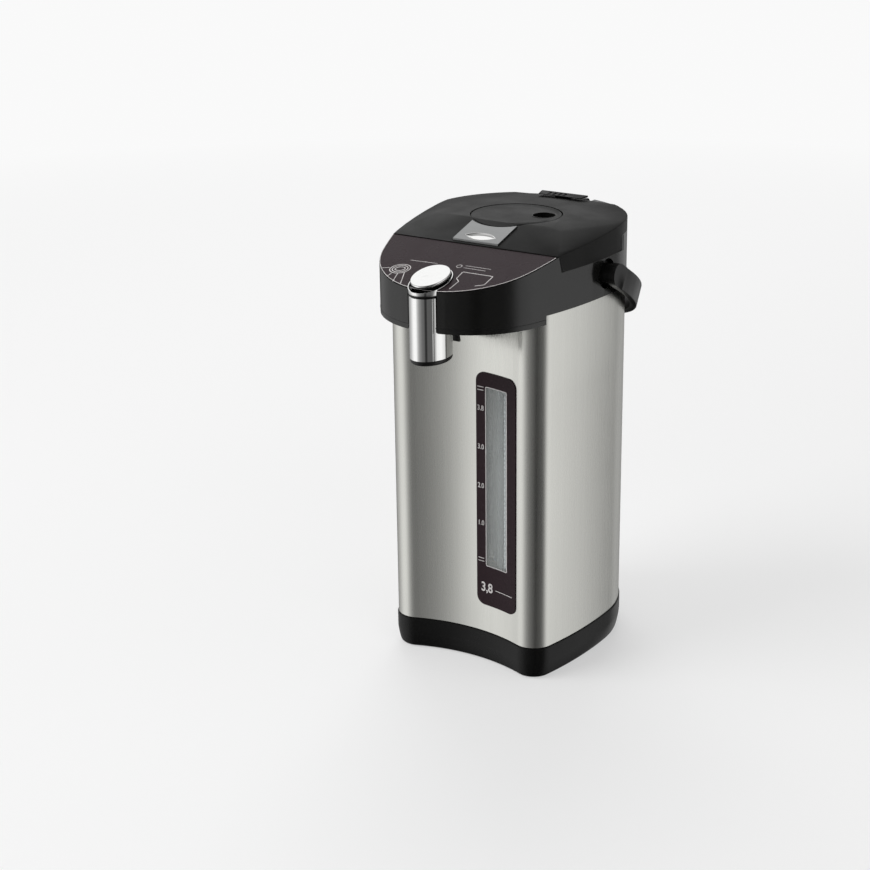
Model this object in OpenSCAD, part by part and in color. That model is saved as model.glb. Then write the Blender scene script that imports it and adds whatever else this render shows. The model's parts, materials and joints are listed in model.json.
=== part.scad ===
// Electric thermo pot: a tall insulated hot-water pot with a beak spout, a pump lid and a carry handle.
// Millimetres, +Z up, feet on z = 0, the spout points along -Y.

/* [Body] */
// Half of the body's greatest width
body_half_w = 86.5; // [84:0.5:90]
// Height of the black base skirt
base_h = 28.5; // [28:0.5:34]
// Height at which the steel casing ends under the head
steel_top = 317; // [316:0.5:318]
// Distance that the steel casing lies inside the plastic outline
steel_inset = 0.8; // [0.6:0.1:1]
// Thickness of the steel casing
steel_t = 1; // [0.8:0.1:1.2]
// Radius of the two rounded front corners
corner_r = 19; // [17:0.5:21]
// Radius of the gently bowed sides
side_r = 340; // [330:5:360]
// Y of the middle of the hollow front face
front_y = -58.1; // [-59:0.1:-57.5]

/* [Head and beak] */
// Y of the tip of the beak
nose_y = -125.5; // [-127:0.5:-124]
// Height of the beak's lower edge
beak_low = 309.5; // [307:0.5:310]
// Y at which the beak's lower band ends beside the steel corners
beak_step_y = -61; // [-65:0.5:-60]
// Y of the straight line between the control panel and the lid
chord_y = -49.5; // [-50:0.1:-49]
// Height of the head's side edge, where the lid's top begins
crease_z = 361.2; // [360.8:0.1:361.6]
// Height of the seam under the lid's side skirts
skirt_z = 348.5; // [348:0.1:349]
// Slope of the control panel, rise per millimetre towards the back
panel_slope = 0.25; // [0.24:0.01:0.26]
// Wall thickness of the plastic housings
wall = 2.4; // [2.2:0.1:2.6]

/* [Lid] */
// Height of the lid's top at its middle
lid_top = 374; // [373.5:0.1:374.5]
// Slope of the lid's front facet
lid_slope = 0.29; // [0.28:0.01:0.3]
// Slope of the lid's rim along the sides, rise per millimetre towards the back
rim_slope = 0.1; // [0.08:0.01:0.11]
// Height of the lid's rim at the rear, where it is level
rim_top = 371; // [370:0.5:371.5]
// Y of the lid's rear edge
lid_rear_y = 100; // [99:0.5:100.5]
// Y of the lid's hinge axis
hinge_y = 104; // [103.5:0.5:104.5]
// Height of the lid's hinge axis
hinge_z = 369; // [368.5:0.5:369.5]
// Radius of the round pump plate
plate_r = 38; // [37:0.5:38]
// Y of the pump plate's centre
plate_y = 18.8; // [18.5:0.1:19]
// Radius of the steam hole in the pump plate
steam_r = 9.8; // [9.5:0.1:10]

/* [Container] */
// Inside radius of the water container
tank_r = 74; // [73:0.5:74]
// Height of the container's floor
tank_floor = 52; // [51:0.5:53]
// Radius of the mouth under the lid
mouth_r = 64.5; // [64:0.5:65]

/* [Spout] */
// Half of the oval spout column's width
spout_half_w = 15.4; // [15:0.1:15.8]
// Y of the spout column's front
spout_front_y = -133.1; // [-134:0.1:-132.5]
// Length of the spout column from front to back
spout_len = 41.6; // [41:0.1:42.5]
// Height of the column's black underside
spout_low = 283; // [281.5:0.1:283.5]
// Travel of the dispense button
button_travel = 2.4; // [2:0.1:2.4]

/* [Handle] */
// Y of the handle's pivots
pivot_y = 17; // [16.5:0.5:17.5]
// Height of the handle's pivots
pivot_z = 335; // [334:0.5:336]
// Angle by which the stowed handle hangs below level
handle_drop = 29; // [28:0.5:30]
// Height of the handle's flat band
handle_band = 19; // [17:0.5:20]

/* [Hidden] */
$fn = 64;
eps = 0.01;
fit_gap = 0.05;      // radial gap of a pin in its bore
seam = 0.3;          // gap between pieces that slide or swing past each other
far = 400;           // a height above everything, for cutters

// Plan outlines, built from tangent arcs. A positive inset moves the outline inwards.
axis_y = 30.3;       // the container's axis, which is also the centre of the round rear
corner_a = 14.4;     // angle at which a side arc meets its corner arc
side_c = [body_half_w - side_r, axis_y];
corner_c = side_c + (side_r - corner_r) * [cos(corner_a), -sin(corner_a)];
front_drop = corner_c[1] - front_y;
front_r = (pow(corner_c[0], 2) + pow(front_drop, 2) - pow(corner_r, 2)) / (2 * (corner_r - front_drop));
front_a = atan2(corner_c[0], front_drop + front_r);
head_len = axis_y - nose_y;
nose_r = (2 * body_half_w * side_r - pow(body_half_w, 2) - pow(head_len, 2)) / (2 * (side_r - head_len));
nose_a = atan2(head_len - nose_r, side_r - body_half_w);

function arc(c, r, a0, a1, n) =
  [for (i = [0:n - 1]) c + r * [cos(a0 + (a1 - a0) * i / n), sin(a0 + (a1 - a0) * i / n)]];
function rear_arc(d) = arc([0, axis_y], body_half_w - d, 0, 180, 32);
function side_arc(d, a) = arc(side_c, side_r - d, -a, 0, 6);
function body_outline(d) = concat(
  arc([0, front_y - front_r], front_r + d, 90 + front_a, 90 - front_a, 16),
  arc(corner_c, corner_r - d, -90 - front_a, -corner_a, 8),
  side_arc(d, corner_a),
  rear_arc(d),
  arc([-side_c[0], axis_y], side_r - d, 180, 180 + corner_a, 6),
  arc([-corner_c[0], corner_c[1]], corner_r - d, 180 + corner_a, 270 + front_a, 8));
function head_outline(d) = concat(
  arc([0, nose_y + nose_r], nose_r - d, -180 + nose_a, -nose_a, 28),
  side_arc(d, nose_a),
  rear_arc(d),
  arc([-side_c[0], axis_y], side_r - d, 180, 180 + nose_a, 6));

// Heights on the two sloped faces
function panel_z(y) = crease_z + 0.6 + panel_slope * (y - chord_y);
function facet_z(y) = crease_z + 1.2 + lid_slope * (y - chord_y);

// Y of the lid's front end at a height: it leans, so that it clears the panel as it swings up
function lean_y(z) = chord_y + 5.2 - 0.245 * (min(z, lean_top) - skirt_z);

panel_tilt = atan(panel_slope);
facet_tilt = atan(lid_slope);
spout_mid_y = spout_front_y + spout_len / 2;
spout_top = 337.8;                 // top of the column, under the groove
collar_top = 347.4;                // top of the collar at the spout's middle
button_top = 351.4;                // top of the button at the spout's middle
collar_out = 0.4;                  // distance that the collar stands proud of the column
collar_t = 0.8;                    // wall of the collar round the button
groove_h = 1.6;                    // height of the black groove under the collar
column_gap = 0.7;                  // gap between the column and the head round it
film_t = 1;
hole_at = [21.5, 27.2];            // the steam hole's centre
bellows_at = [-7.4, 15.9];         // the bellows' centre, on the hole's far side
lid_floor = 350;                   // top of the lid's inner plate
plate_low = skirt_z + seam;        // underside of that plate
disc_r = 71.5;                     // radius of the inner lid's round part
lid_t = 2.2;                       // wall thickness of the lid
skirt_end_y = 45;                  // rear end of the lid's side skirts
lean_top = skirt_z + 20;           // height up to which the lid's front end leans back
latch_y = -22.5;                   // the latch lever's axis
latch_z = 366;
latch_half_w = 21.2;
latch_front_y = -46.5;
latch_pin_r = 1.5;
hook_z = [351.6, 353.5];           // the hook's lower and upper faces
knuckle_r = 4;
hinge_pin_r = 2.2;
tab_y = 99;                        // the release tab's axis
tab_z = 370.5;
tab_pin_r = 1.2;
tab_half_w = 22.5;
ear_x = [15, 21];
ear_r = 4.2;
handle_pin_r = 4;
handle_in = [91.5, 106.6];         // inside half-axes of the bail, across and along
handle_t = 6;
handle_pin_x = handle_in[0] + 3;   // outer end of the handle's pins
cup_pin_r = 2;
cup_y = -82;
cup_z = 315;
ledge_z = 8.5;                     // top of the ledge inside the base skirt
gauge_x = [7, 49.3];
gauge_z = [54, 260.5];
window_x = [16.7, 39];
window_z = [90.5, 248.2];
tube_at = [27.9, -51.5];
motor_at = [20, 12];
motor_z = 8;

module prism(points, z0, z1) {
  translate([0, 0, z0]) linear_extrude(z1 - z0) polygon(points);
}

module box(low, high) {
  translate(low) cube(high - low);
}

// A wall round the body: a closed profile of [z, inset] points, swept along the body outline
module body_skin(profile) {
  n = len(body_outline(0));
  m = len(profile);
  points = [for (p = profile) for (q = body_outline(p[1])) [q[0], q[1], p[0]]];
  faces = [for (k = [0:m - 1]) for (i = [0:n - 1]) let (next = (k + 1) % m, j = (i + 1) % n)
    [k * n + i, next * n + i, next * n + j, k * n + j]];
  polyhedron(points, faces);
}

// The space under a plane that rises towards the back through (y, z)
module below_plane(y, z, slope) {
  translate([0, y, z]) rotate([atan(slope), 0, 0]) box([-150, -200, -200], [150, 300, 0]);
}

// The lid's side profile between its leaning front end and the rear ends of its skirts
module lid_space(d, z0) {
  rotate([90, 0, 90]) translate([0, 0, -100]) linear_extrude(200) polygon([
    [lean_y(z0) + d, z0], [lean_y(lean_top) + d, lean_top], [lean_y(lean_top) + d, far],
    [skirt_end_y - d, far], [skirt_end_y - d, z0]]);
}

module oval(half_w, length) {
  scale([1, length / 2 / half_w]) circle(half_w, $fn = 96);
}

// The spout column's plan, with an inset
module spout_plan(d) {
  translate([0, spout_mid_y]) oval(spout_half_w - d, spout_len - 2 * d);
}

module spout_body(d, z0, z1) {
  translate([0, 0, z0]) linear_extrude(z1 - z0) spout_plan(d);
}

module ring(r0, r1, z0, z1) {
  translate([0, 0, z0]) linear_extrude(z1 - z0) difference() {
    circle(r1, $fn = 128);
    circle(r0, $fn = 128);
  }
}

module at_axis() {
  translate([0, axis_y, 0]) children();
}

// A round bar along X between two x values
module bar_x(r, x0, x1, y, z) {
  translate([x0, y, z]) rotate([0, 90, 0]) cylinder(h = x1 - x0, r = r);
}

// Cuts a route's corners, so that a hose bends smoothly. The ends stay in place.
function rounded(p, times) = times == 0 ? p : rounded(concat([p[0]],
  [for (i = [0:len(p) - 2]) each [p[i] * 0.75 + p[i + 1] * 0.25, p[i] * 0.25 + p[i + 1] * 0.75]],
  [p[len(p) - 1]]), times - 1);
function unit(v) = v / norm(v);

// A hose swept along a hand-chosen route that never runs along X
module hose(route, r) {
  p = rounded(route, 2);
  n = len(p);
  sides = 10;
  points = [for (i = [0:n - 1])
    let (t = unit(p[min(i + 1, n - 1)] - p[max(i - 1, 0)]), u = unit(cross(t, [1, 0, 0])), v = cross(t, u))
    for (j = [0:sides - 1]) p[i] + r * (cos(360 * j / sides) * u + sin(360 * j / sides) * v)];
  faces = [for (i = [0:n - 2]) for (j = [0:sides - 1])
    [i * sides + j, i * sides + (j + 1) % sides, (i + 1) * sides + (j + 1) % sides, (i + 1) * sides + j]];
  ends = [[for (j = [sides - 1:-1:0]) j], [for (j = [0:sides - 1]) (n - 1) * sides + j]];
  polyhedron(points, concat(faces, ends));
}

// A coil spring as a round wire swept up a helix
module coil(r, wire, height, turns) {
  steps = turns * 16;
  sides = 6;
  points = [for (i = [0:steps]) for (j = [0:sides - 1])
    let (a = 360 * turns * i / steps, b = 360 * j / sides, rr = r + wire * cos(b))
    [rr * cos(a), rr * sin(a), wire + (height - 2 * wire) * i / steps + wire * sin(b)]];
  faces = [for (i = [0:steps - 1]) for (j = [0:sides - 1])
    [i * sides + j, i * sides + (j + 1) % sides, (i + 1) * sides + (j + 1) % sides, (i + 1) * sides + j]];
  ends = [[for (j = [sides - 1:-1:0]) j], [for (j = [0:sides - 1]) steps * sides + j]];
  polyhedron(points, concat(faces, ends));
}

// Casing and base

module steel_shell() {
  color([0.72, 0.72, 0.68]) {
    difference() {
      prism(body_outline(steel_inset), base_h, steel_top);
      prism(body_outline(steel_inset + steel_t), base_h - 1, steel_top + 1);
      box([window_x[0] - 0.5, -80, window_z[0] - 0.5], [window_x[1] + 0.5, -40, window_z[1] + 0.5]);
    }
    // the folded lock seam down the rear
    box([-4, axis_y + body_half_w - steel_inset - 0.3, base_h], [4, axis_y + body_half_w - 0.3, steel_top]);
  }
}

module base_skirt() {
  color([0.05, 0.05, 0.05]) difference() {
    body_skin([[1, 3.6], [2, 2.6], [4, 1.9], [12, 0.4], [15, 0], [base_h, 0],
      [base_h, wall + 1], [ledge_z, wall + 1], [ledge_z, 9], [1, 9]]);
    // way out for the power inlet
    box([-17.3, 90, 6.7], [17.3, 130, 27.3]);
  }
}

foot_at = [[48, -44], [-48, -44], [44, 78], [-44, 78]];
screw_at = [[30, -38], [-30, -38], [26, 92], [-26, 92]];

module bottom_plate() {
  color([0.1, 0.1, 0.1]) difference() {
    union() {
      prism(body_outline(9.3), 2.8, 5.3);
      for (p = screw_at) translate([p[0], p[1], 5.3]) cylinder(h = 6, r = 4);
    }
    for (p = screw_at) translate([p[0], p[1], 0]) {
      cylinder(h = 20, r = 1.6);
      cylinder(h = 4.3, r = 3.4);
    }
    for (i = [-3:3]) box([i * 9 - 1.5, 20, 0], [i * 9 + 1.5, 44, 10]);
  }
}

module rubber_feet() {
  color([0.12, 0.12, 0.12]) for (p = foot_at) translate([p[0], p[1], 0]) {
    cylinder(h = 0.8, r1 = 7.2, r2 = 8);
    translate([0, 0, 0.8]) cylinder(h = 2, r = 8);
  }
}

module base_screws() {
  color([0.6, 0.6, 0.6]) for (p = screw_at) translate([p[0], p[1], 0]) difference() {
    union() {
      translate([0, 0, 2.9]) cylinder(h = 1.4, r = 3);
      translate([0, 0, 4.3]) cylinder(h = 7, r = 1.5);
    }
    translate([-2, -0.4, 2.8]) cube([4, 0.8, 0.8]);
    translate([-0.4, -2, 2.8]) cube([0.8, 4, 0.8]);
  }
}

// Head

// The head's outer solid: side walls, beak and rear, before it is hollowed
module head_solid(d) {
  difference() {
    intersection() {
      prism(head_outline(d), beak_low, crease_z + 5);
      below_plane(chord_y, panel_z(chord_y) - film_t - d, panel_slope);
      union() {
        box([-100, -140, beak_low], [100, beak_step_y, far]);
        box([-100, beak_step_y - eps, steel_top], [100, 130, far]);
      }
    }
    // the lid's space behind the panel: a leaning front wall, then the skirts' ledge
    lid_space(-d - seam, skirt_z - d);
    box([-100, chord_y - d, crease_z - d], [100, 130, far]);
  }
}

module head_shell() {
  color([0.13, 0.13, 0.12]) difference() {
    head_solid(0);
    head_solid(wall);
    // open underside of the beak and of the shoulder ring
    prism(head_outline(wall), beak_low - 1, beak_low + 5);
    prism(head_outline(wall), steel_top - 1, steel_top + 5);
    // the steel's corners reach up inside the beak's lower band
    prism(body_outline(steel_inset - 0.2), beak_low - 1, steel_top);
    // round passage for the mouth
    at_axis() translate([0, 0, 330]) cylinder(h = 60, r = 74);
    // the rear hinge block's seat
    box([-52, 92, skirt_z - 4], [52, 130, far]);
    // spout column, button and handle recesses
    spout_body(-column_gap, beak_low - 1, far);
    for (s = [-1, 1]) bar_x(12.5, s > 0 ? 80 : -100, s > 0 ? 100 : -80, pivot_y, pivot_z);
    // catch slot for the latch's hook
    box([-13, chord_y - 4, skirt_z - 2.5], [13, chord_y + 8, 354]);
  }
}

module beak_underside() {
  color([0.1, 0.1, 0.1]) difference() {
    union() {
      intersection() {
        prism(head_outline(wall + 0.1), beak_low, beak_low + 2);
        box([-100, -140, 0], [100, -50, far]);
      }
      for (s = [-1, 1]) box([s * 8 - 1.5, cup_y - 5, beak_low + 1], [s * 8 + 1.5, cup_y + 5, cup_z + 5]);
    }
    prism(body_outline(steel_inset - 0.1), beak_low - 1, steel_top);
    spout_body(-column_gap, beak_low - 1, far);
    box([-5.6, cup_y - 7, beak_low - 1], [5.6, cup_y + 11, beak_low + 3]);
    bar_x(cup_pin_r + fit_gap, -12, 12, cup_y, cup_z);
  }
}

module control_panel() {
  color([0.18, 0.12, 0.14]) difference() {
    intersection() {
      prism(head_outline(0.8), 330, far);
      below_plane(chord_y, panel_z(chord_y), panel_slope);
      box([-100, -140, 330], [100, chord_y - seam, far]);
    }
    below_plane(chord_y, panel_z(chord_y) - film_t + 2 * eps, panel_slope);
    spout_body(-column_gap, 300, far);
  }
}

module control_board() {
  z = panel_z(chord_y) - 8;
  color([0.1, 0.35, 0.2]) {
    difference() {
      intersection() {
        prism(head_outline(9), 320, far);
        below_plane(chord_y, z, panel_slope);
        box([-100, -104, 300], [100, -58, far]);
      }
      below_plane(chord_y, z - 1.6, panel_slope);
      spout_body(-2, 300, far);
    }
    // key switches and the indicator lamp
    for (p = [[-44, -78], [26, -86], [0, -66]])
      translate([p[0], p[1], z + panel_slope * (p[1] - chord_y)]) rotate([panel_tilt, 0, 0]) {
        translate([-3, -3, -0.5]) cube([6, 6, 3.5]);
        cylinder(h = 4, r = 1.6);
      }
  }
}

// One layer of the dome: an inset outline under the rising rim plane, lifted by up
module dome_layer(d, inset, up) {
  intersection() {
    prism(head_outline(d + inset), crease_z - 3, rim_top + min(up, 0.5 * up + 0.4) - d);
    below_plane(chord_y, crease_z + 0.4 + up - d, rim_slope);
  }
}

// Dome over the whole head, from below the crease up
module dome(d) {
  hull() {
    dome_layer(d, 0, 0);
    dome_layer(d, 1.2, 0.8);
    dome_layer(d, 16, 2.8);
    prism(head_outline(d + 34), lid_top - 0.1 - d, lid_top - d);
  }
}

module hinge_block() {
  color([0.13, 0.13, 0.12]) difference() {
    union() {
      // it ends a seam below the lid's rim, and reaches the dome only behind the lid
      intersection() {
        prism(head_outline(0), skirt_z - 4, crease_z + seam + eps);
        union() {
          box([-51.8, 92.2, 300], [51.8, 130, crease_z]);
          box([-51.8, lid_rear_y + 0.6, 300], [51.8, 130, far]);
        }
      }
      // its top stays under the sweep of the lid's rear edge
      intersection() {
        dome(0);
        box([-51.8, lid_rear_y + 0.6, crease_z], [51.8, 130, hinge_z + 1.4]);
      }
      for (s = [-1, 1]) translate([s > 0 ? ear_x[0] : -ear_x[1], 0, 0]) {
        bar_x(ear_r, 0, ear_x[1] - ear_x[0], hinge_y, hinge_z);
        box([0, hinge_y - 3.2, crease_z], [ear_x[1] - ear_x[0], hinge_y + ear_r, hinge_z]);
      }
    }
    // hollow inside
    intersection() {
      prism(head_outline(wall), skirt_z - 5, crease_z - 2);
      box([-60, 90, 300], [60, 130, far]);
    }
    // the well between and behind the ears
    box([-ear_x[0], lid_rear_y - 3, crease_z], [ear_x[0], 130, far]);
    for (s = [-1, 1]) box([s * 18.5 - 4, hinge_y + ear_r, crease_z + 0.4], [s * 18.5 + 4, 130, far]);
    bar_x(hinge_pin_r + fit_gap, -25, 25, hinge_y, hinge_z);
  }
}

module mouth_ring() {
  color([0.16, 0.16, 0.16]) at_axis() {
    ring(mouth_r, mouth_r + 2.5, 316, 345.5);
    ring(mouth_r + 2, 73.7, 343, 345.5);
    ring(71.3, 73.7, 330, 343);
  }
}

module mouth_seal() {
  color([0.85, 0.85, 0.82]) at_axis() ring(mouth_r + 2.6, 67.9, 317, 321);
}

// Gauge on the hollow front face

module face_piece(d0, d1, x, z, r) {
  intersection() {
    difference() {
      prism(body_outline(d0), z[0] - 1, z[1] + 1);
      prism(body_outline(d1), z[0] - 2, z[1] + 2);
    }
    translate([0, -30, 0]) rotate([90, 0, 0]) linear_extrude(60)
      translate([x[0] + r, z[0] + r]) minkowski() {
        square([x[1] - x[0] - 2 * r, z[1] - z[0] - 2 * r]);
        circle(r, $fn = 32);
      }
  }
}

module gauge_panel() {
  color([0.18, 0.12, 0.14]) difference() {
    face_piece(0, steel_inset, gauge_x, gauge_z, 8);
    box([window_x[0], -80, window_z[0]], [window_x[1], -40, window_z[1]]);
  }
}

module gauge_window() {
  color([0.7, 0.75, 0.78, 0.5]) difference() {
    prism(body_outline(0.3), window_z[0] + 0.1, window_z[1] - 0.1);
    prism(body_outline(2.2), window_z[0] - 1, window_z[1] + 1);
    box([-100, -100, 0], [window_x[0] + 0.1, 130, far]);
    box([window_x[1] - 0.1, -100, 0], [100, 130, far]);
    box([-100, 0, 0], [100, 130, far]);
  }
}

module level_tube() {
  color([0.8, 0.85, 0.88, 0.5]) translate([tube_at[0], tube_at[1], 70]) difference() {
    cylinder(h = 190, r = 4.5);
    translate([0, 0, -1]) cylinder(h = 192, r = 3.2);
  }
}

// Spout

module spout_cover() {
  color([0.85, 0.85, 0.85]) difference() {
    spout_body(0, spout_low + 4, spout_top);
    spout_body(1.4, spout_low + 3, spout_top + 1);
    box([-20, spout_front_y + 6.5, 200], [20, 0, far]);
  }
}

module spout_back() {
  color([0.8, 0.8, 0.8]) difference() {
    spout_body(0.3, spout_low + 4, spout_top);
    spout_body(1.7, spout_low + 3, spout_top + 1);
    box([-20, -200, 200], [20, spout_front_y + 6.9, far]);
    // way in for the hose
    translate([0, spout_mid_y + 10, 322.4]) rotate([-90, 0, 0]) cylinder(h = 20, r = 6.2);
  }
}

module spout_collar() {
  floor_t = 1.2;
  color([0.85, 0.85, 0.85]) difference() {
    intersection() {
      spout_body(-collar_out, spout_top + groove_h, far);
      below_plane(spout_mid_y, collar_top, panel_slope);
    }
    // the button dives into the wide part, and its plunger through the floor
    spout_body(collar_t - collar_out, spout_top + groove_h + floor_t, far);
    spout_body(2, spout_top, far);
  }
  // the groove's black ring, down to the column's top
  color([0.05, 0.05, 0.05]) difference() {
    spout_body(1, spout_top, spout_top + groove_h + eps);
    spout_body(2, spout_top - 1, far);
  }
}

module spout_nozzle() {
  color([0.05, 0.05, 0.05]) difference() {
    union() {
      hull() {
        spout_body(2.4, spout_low, spout_low + 0.1);
        spout_body(0.4, spout_low + 2.2, spout_low + 3.95);
      }
      spout_body(2, spout_low + 3.9, spout_low + 10);
      translate([0, spout_mid_y, spout_low + 9]) cylinder(h = 12, r = 5.5);
    }
    translate([0, spout_mid_y, spout_low - 1]) cylinder(h = 30, r = 4);
  }
}

// The button, its plunger, spring and switch share one frame, whose z axis is the button's travel
button_t = 2.2;
plunger_low = -11.2;   // underside of the plunger
stub_low = -15.2;      // end of the stub that works the switch
switch_top = -22.6;
module button_frame() {
  translate([0, spout_mid_y, button_top]) rotate([panel_tilt, 0, 0]) children();
}

module dispense_button() {
  color([0.9, 0.9, 0.9]) button_frame() difference() {
    translate([0, 0, -button_t]) linear_extrude(button_t)
      oval(spout_half_w - 0.9, spout_len - 4.4);
    // the shallow thumb dimple towards the front
    translate([0, -5.5, 25.1]) sphere(26);
  }
}

module button_plunger() {
  color([0.06, 0.06, 0.06]) button_frame() {
    translate([0, 0, plunger_low]) linear_extrude(-plunger_low - button_t)
      oval(spout_half_w - 5, spout_len - 13);
    translate([0, 0, stub_low]) cylinder(h = plunger_low - stub_low + eps, r = 3);
  }
}

module button_spring() {
  color([0.7, 0.7, 0.7]) button_frame() translate([0, 0, switch_top + 0.1])
    coil(4.6, 0.4, plunger_low - switch_top - 0.2, 4);
}

module dispense_switch() {
  color([0.2, 0.2, 0.2]) button_frame() {
    translate([-7, -9, switch_top - 4]) cube([14, 14.2, 4]);
    // its key ends just below the stub at full travel
    translate([-2, -2, switch_top - eps]) cube([4, 4, stub_low - button_travel - seam - switch_top]);
  }
}

// Cup lever behind the spout

module cup_lever() {
  color([0.05, 0.05, 0.05]) {
    bar_x(cup_pin_r, -9.3, 9.3, cup_y, cup_z);
    difference() {
      union() {
        bar_x(3.4, -5, 5, cup_y, cup_z);
        hull() {
          bar_x(2.6, -5, 5, cup_y, cup_z - 2);
          box([-5, cup_y + 0.5, 294], [5, cup_y + 3.5, 296]);
        }
        hull() {
          box([-5, cup_y + 0.5, 291], [5, cup_y + 3.5, 296]);
          box([-3.5, cup_y + 5, 289], [3.5, cup_y + 7, 290.5]);
        }
        box([-3, cup_y - 5.6, cup_z - 1.5], [3, cup_y, cup_z + 1.5]);
      }
      bar_x(0.6, -6, 6, cup_y, cup_z + 2);
    }
  }
}

module cup_switch() {
  color([0.2, 0.2, 0.2]) {
    box([-5, cup_y + 12, beak_low + 2], [5, cup_y + 21.5, beak_low + 9]);
    box([-1.5, cup_y + 5, beak_low + 4], [1.5, cup_y + 12.1, beak_low + 5.5]);
  }
}

// Container, heaters and pump

module inner_container() {
  color([0.8, 0.8, 0.8]) difference() {
    at_axis() rotate_extrude($fn = 128) difference() {
      tank_profile(1, 0);
      tank_profile(0, 1);
    }
    // outlet to the pump
    translate([motor_at[0], motor_at[1], tank_floor - 5]) cylinder(h = 10, r = 5);
  }
}

// The container's half profile; grow is the wall's thickness and open lifts it past the rim
module tank_profile(grow, open) {
  corner = 10;
  translate([0, tank_floor - grow]) square([tank_r - corner, 30]);
  translate([tank_r - corner, tank_floor + corner]) intersection() {
    circle(corner + grow);
    translate([0, -20]) square(20);
  }
  translate([0, tank_floor + corner]) square([tank_r + grow, 300 - tank_floor - corner]);
  polygon([[0, 299], [tank_r + grow, 299], [tank_r + grow, 300], [68 + grow, 311],
    [68 + grow, 322 + open], [0, 322 + open]]);
}

module insulation_sleeve() {
  color([0.75, 0.72, 0.6]) at_axis() difference() {
    ring(tank_r + 1.6, tank_r + 4.6, 96, 290);
    box([-40, -100, 90], [40, -50, 300]);
  }
}

module heater_plate() {
  coil_r = 40;   // radius of the heating element's ring
  color([0.65, 0.65, 0.65]) {
    difference() {
      at_axis() translate([0, 0, tank_floor - 5]) cylinder(h = 4, r = 48);
      translate([motor_at[0], motor_at[1], tank_floor - 10]) cylinder(h = 20, r = 6.6);
    }
    at_axis() {
      rotate_extrude(angle = 330) translate([coil_r, tank_floor - 8]) circle(3.2, $fn = 24);
      // the element's two terminals
      for (a = [0, 330]) rotate(a) translate([coil_r, 0, tank_floor - 8])
        rotate([a > 0 ? -90 : 90, 0, 0]) cylinder(h = 5, r = 2);
    }
  }
}

module band_heater() {
  color([0.75, 0.7, 0.6]) at_axis() difference() {
    ring(tank_r + 1.3, tank_r + 3.5, 66, 92);
    box([-4, 60, 60], [4, 90, 100]);
  }
}

module thermostat() {
  color([0.3, 0.3, 0.3]) translate([-22, axis_y, tank_floor - 13]) {
    cylinder(h = 8, r = 8);
    for (s = [-1, 1]) translate([s * 5 - 2, -0.4, -8]) cube([4, 0.8, 8.01]);
  }
}

module thermal_fuse() {
  color([0.85, 0.8, 0.6]) translate([0, axis_y + 20, tank_floor - 7.6]) rotate([0, 90, 0])
    translate([0, 0, -7]) cylinder(h = 14, r = 2.4);
}

module pump_bracket() {
  color([0.7, 0.7, 0.7]) difference() {
    union() {
      box([-18, motor_at[1] - 20, 5.3], [44, motor_at[1] + 20, 6.8]);
      box([-18, motor_at[1] - 20, 5.3], [-16.5, motor_at[1] + 20, 30]);
    }
    translate([motor_at[0], motor_at[1], 5]) cylinder(h = 3, r = 4);
  }
}

module pump_motor() {
  color([0.6, 0.6, 0.62]) translate([motor_at[0], motor_at[1], motor_z]) {
    cylinder(h = 18, r = 12);
    translate([0, 0, 18]) cylinder(h = 5, r = 1.5);
    translate([0, 0, -1.2]) cylinder(h = 1.21, r = 3);
  }
}

module pump_housing() {
  color([0.9, 0.88, 0.82]) translate([motor_at[0], motor_at[1], motor_z + 18]) difference() {
    union() {
      cylinder(h = 14, r = 17);
      translate([0, 0, 14]) cylinder(h = 4, r = 5);
      translate([0, -13, 7]) rotate([90, 0, 0]) cylinder(h = 16, r = 4);
    }
    translate([0, 0, 1.5]) cylinder(h = 11, r = 14.5);
    translate([0, 0, -1]) cylinder(h = 4, r = 2.2);
    translate([0, 0, 10]) cylinder(h = 10, r = 3.2);
    translate([0, -10, 7]) rotate([90, 0, 0]) cylinder(h = 20, r = 2.4);
  }
}

module pump_impeller() {
  color([0.95, 0.95, 0.95]) translate([motor_at[0], motor_at[1], motor_z + 18]) difference() {
    union() {
      translate([0, 0, 2.2]) cylinder(h = 1.6, r = 13);
      translate([0, 0, 2.2]) cylinder(h = 7, r = 3);
      for (a = [0:60:300]) rotate(a) translate([2, -0.6, 3]) cube([10.5, 1.2, 5.5]);
    }
    translate([0, 0, 0]) cylinder(h = 5.2, r = 1.5 + fit_gap);
  }
}

module tank_hose() {
  color([0.88, 0.86, 0.8]) translate([motor_at[0], motor_at[1], motor_z + 36]) difference() {
    cylinder(h = tank_floor - 1 - motor_z - 36, r = 6.2);
    translate([0, 0, -1]) cylinder(h = 30, r = 5);
  }
}

module riser_hose() {
  x = motor_at[0];
  color([0.88, 0.86, 0.8]) hose([[x, motor_at[1] - 30.5, motor_z + 25], [x, -46, motor_z + 25],
    [tube_at[0], tube_at[1], motor_z + 42], [tube_at[0], tube_at[1], 69.8]], 4.4);
}

module spout_hose() {
  // over the cup lever, into the column under the switch, and down to the nozzle
  color([0.88, 0.86, 0.8]) hose([[tube_at[0], tube_at[1], 260.2], [tube_at[0], tube_at[1], 300],
    [tube_at[0], -53, 322], [14, -62, 328], [0, -74, 326.5], [0, cup_y - 2, 324.6], [0, -98, 322.2],
    [0, spout_mid_y + 5, 320], [0, spout_mid_y, 313], [0, spout_mid_y, 304]], 4.4);
}

module power_board() {
  color([0.15, 0.35, 0.2]) {
    box([-60, -30, 9], [-22, 60, 10.6]);
    box([-56, -20, 10.6], [-36, 0, 28]);
    box([-52, 14, 10.6], [-40, 30, 24]);
    translate([-46, 48, 10.6]) cylinder(h = 16, r = 6);
    for (x = [-56, -26]) for (y = [-26, 56]) translate([x, y, 5.3]) cylinder(h = 3.71, r = 2.5);
  }
}

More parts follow.
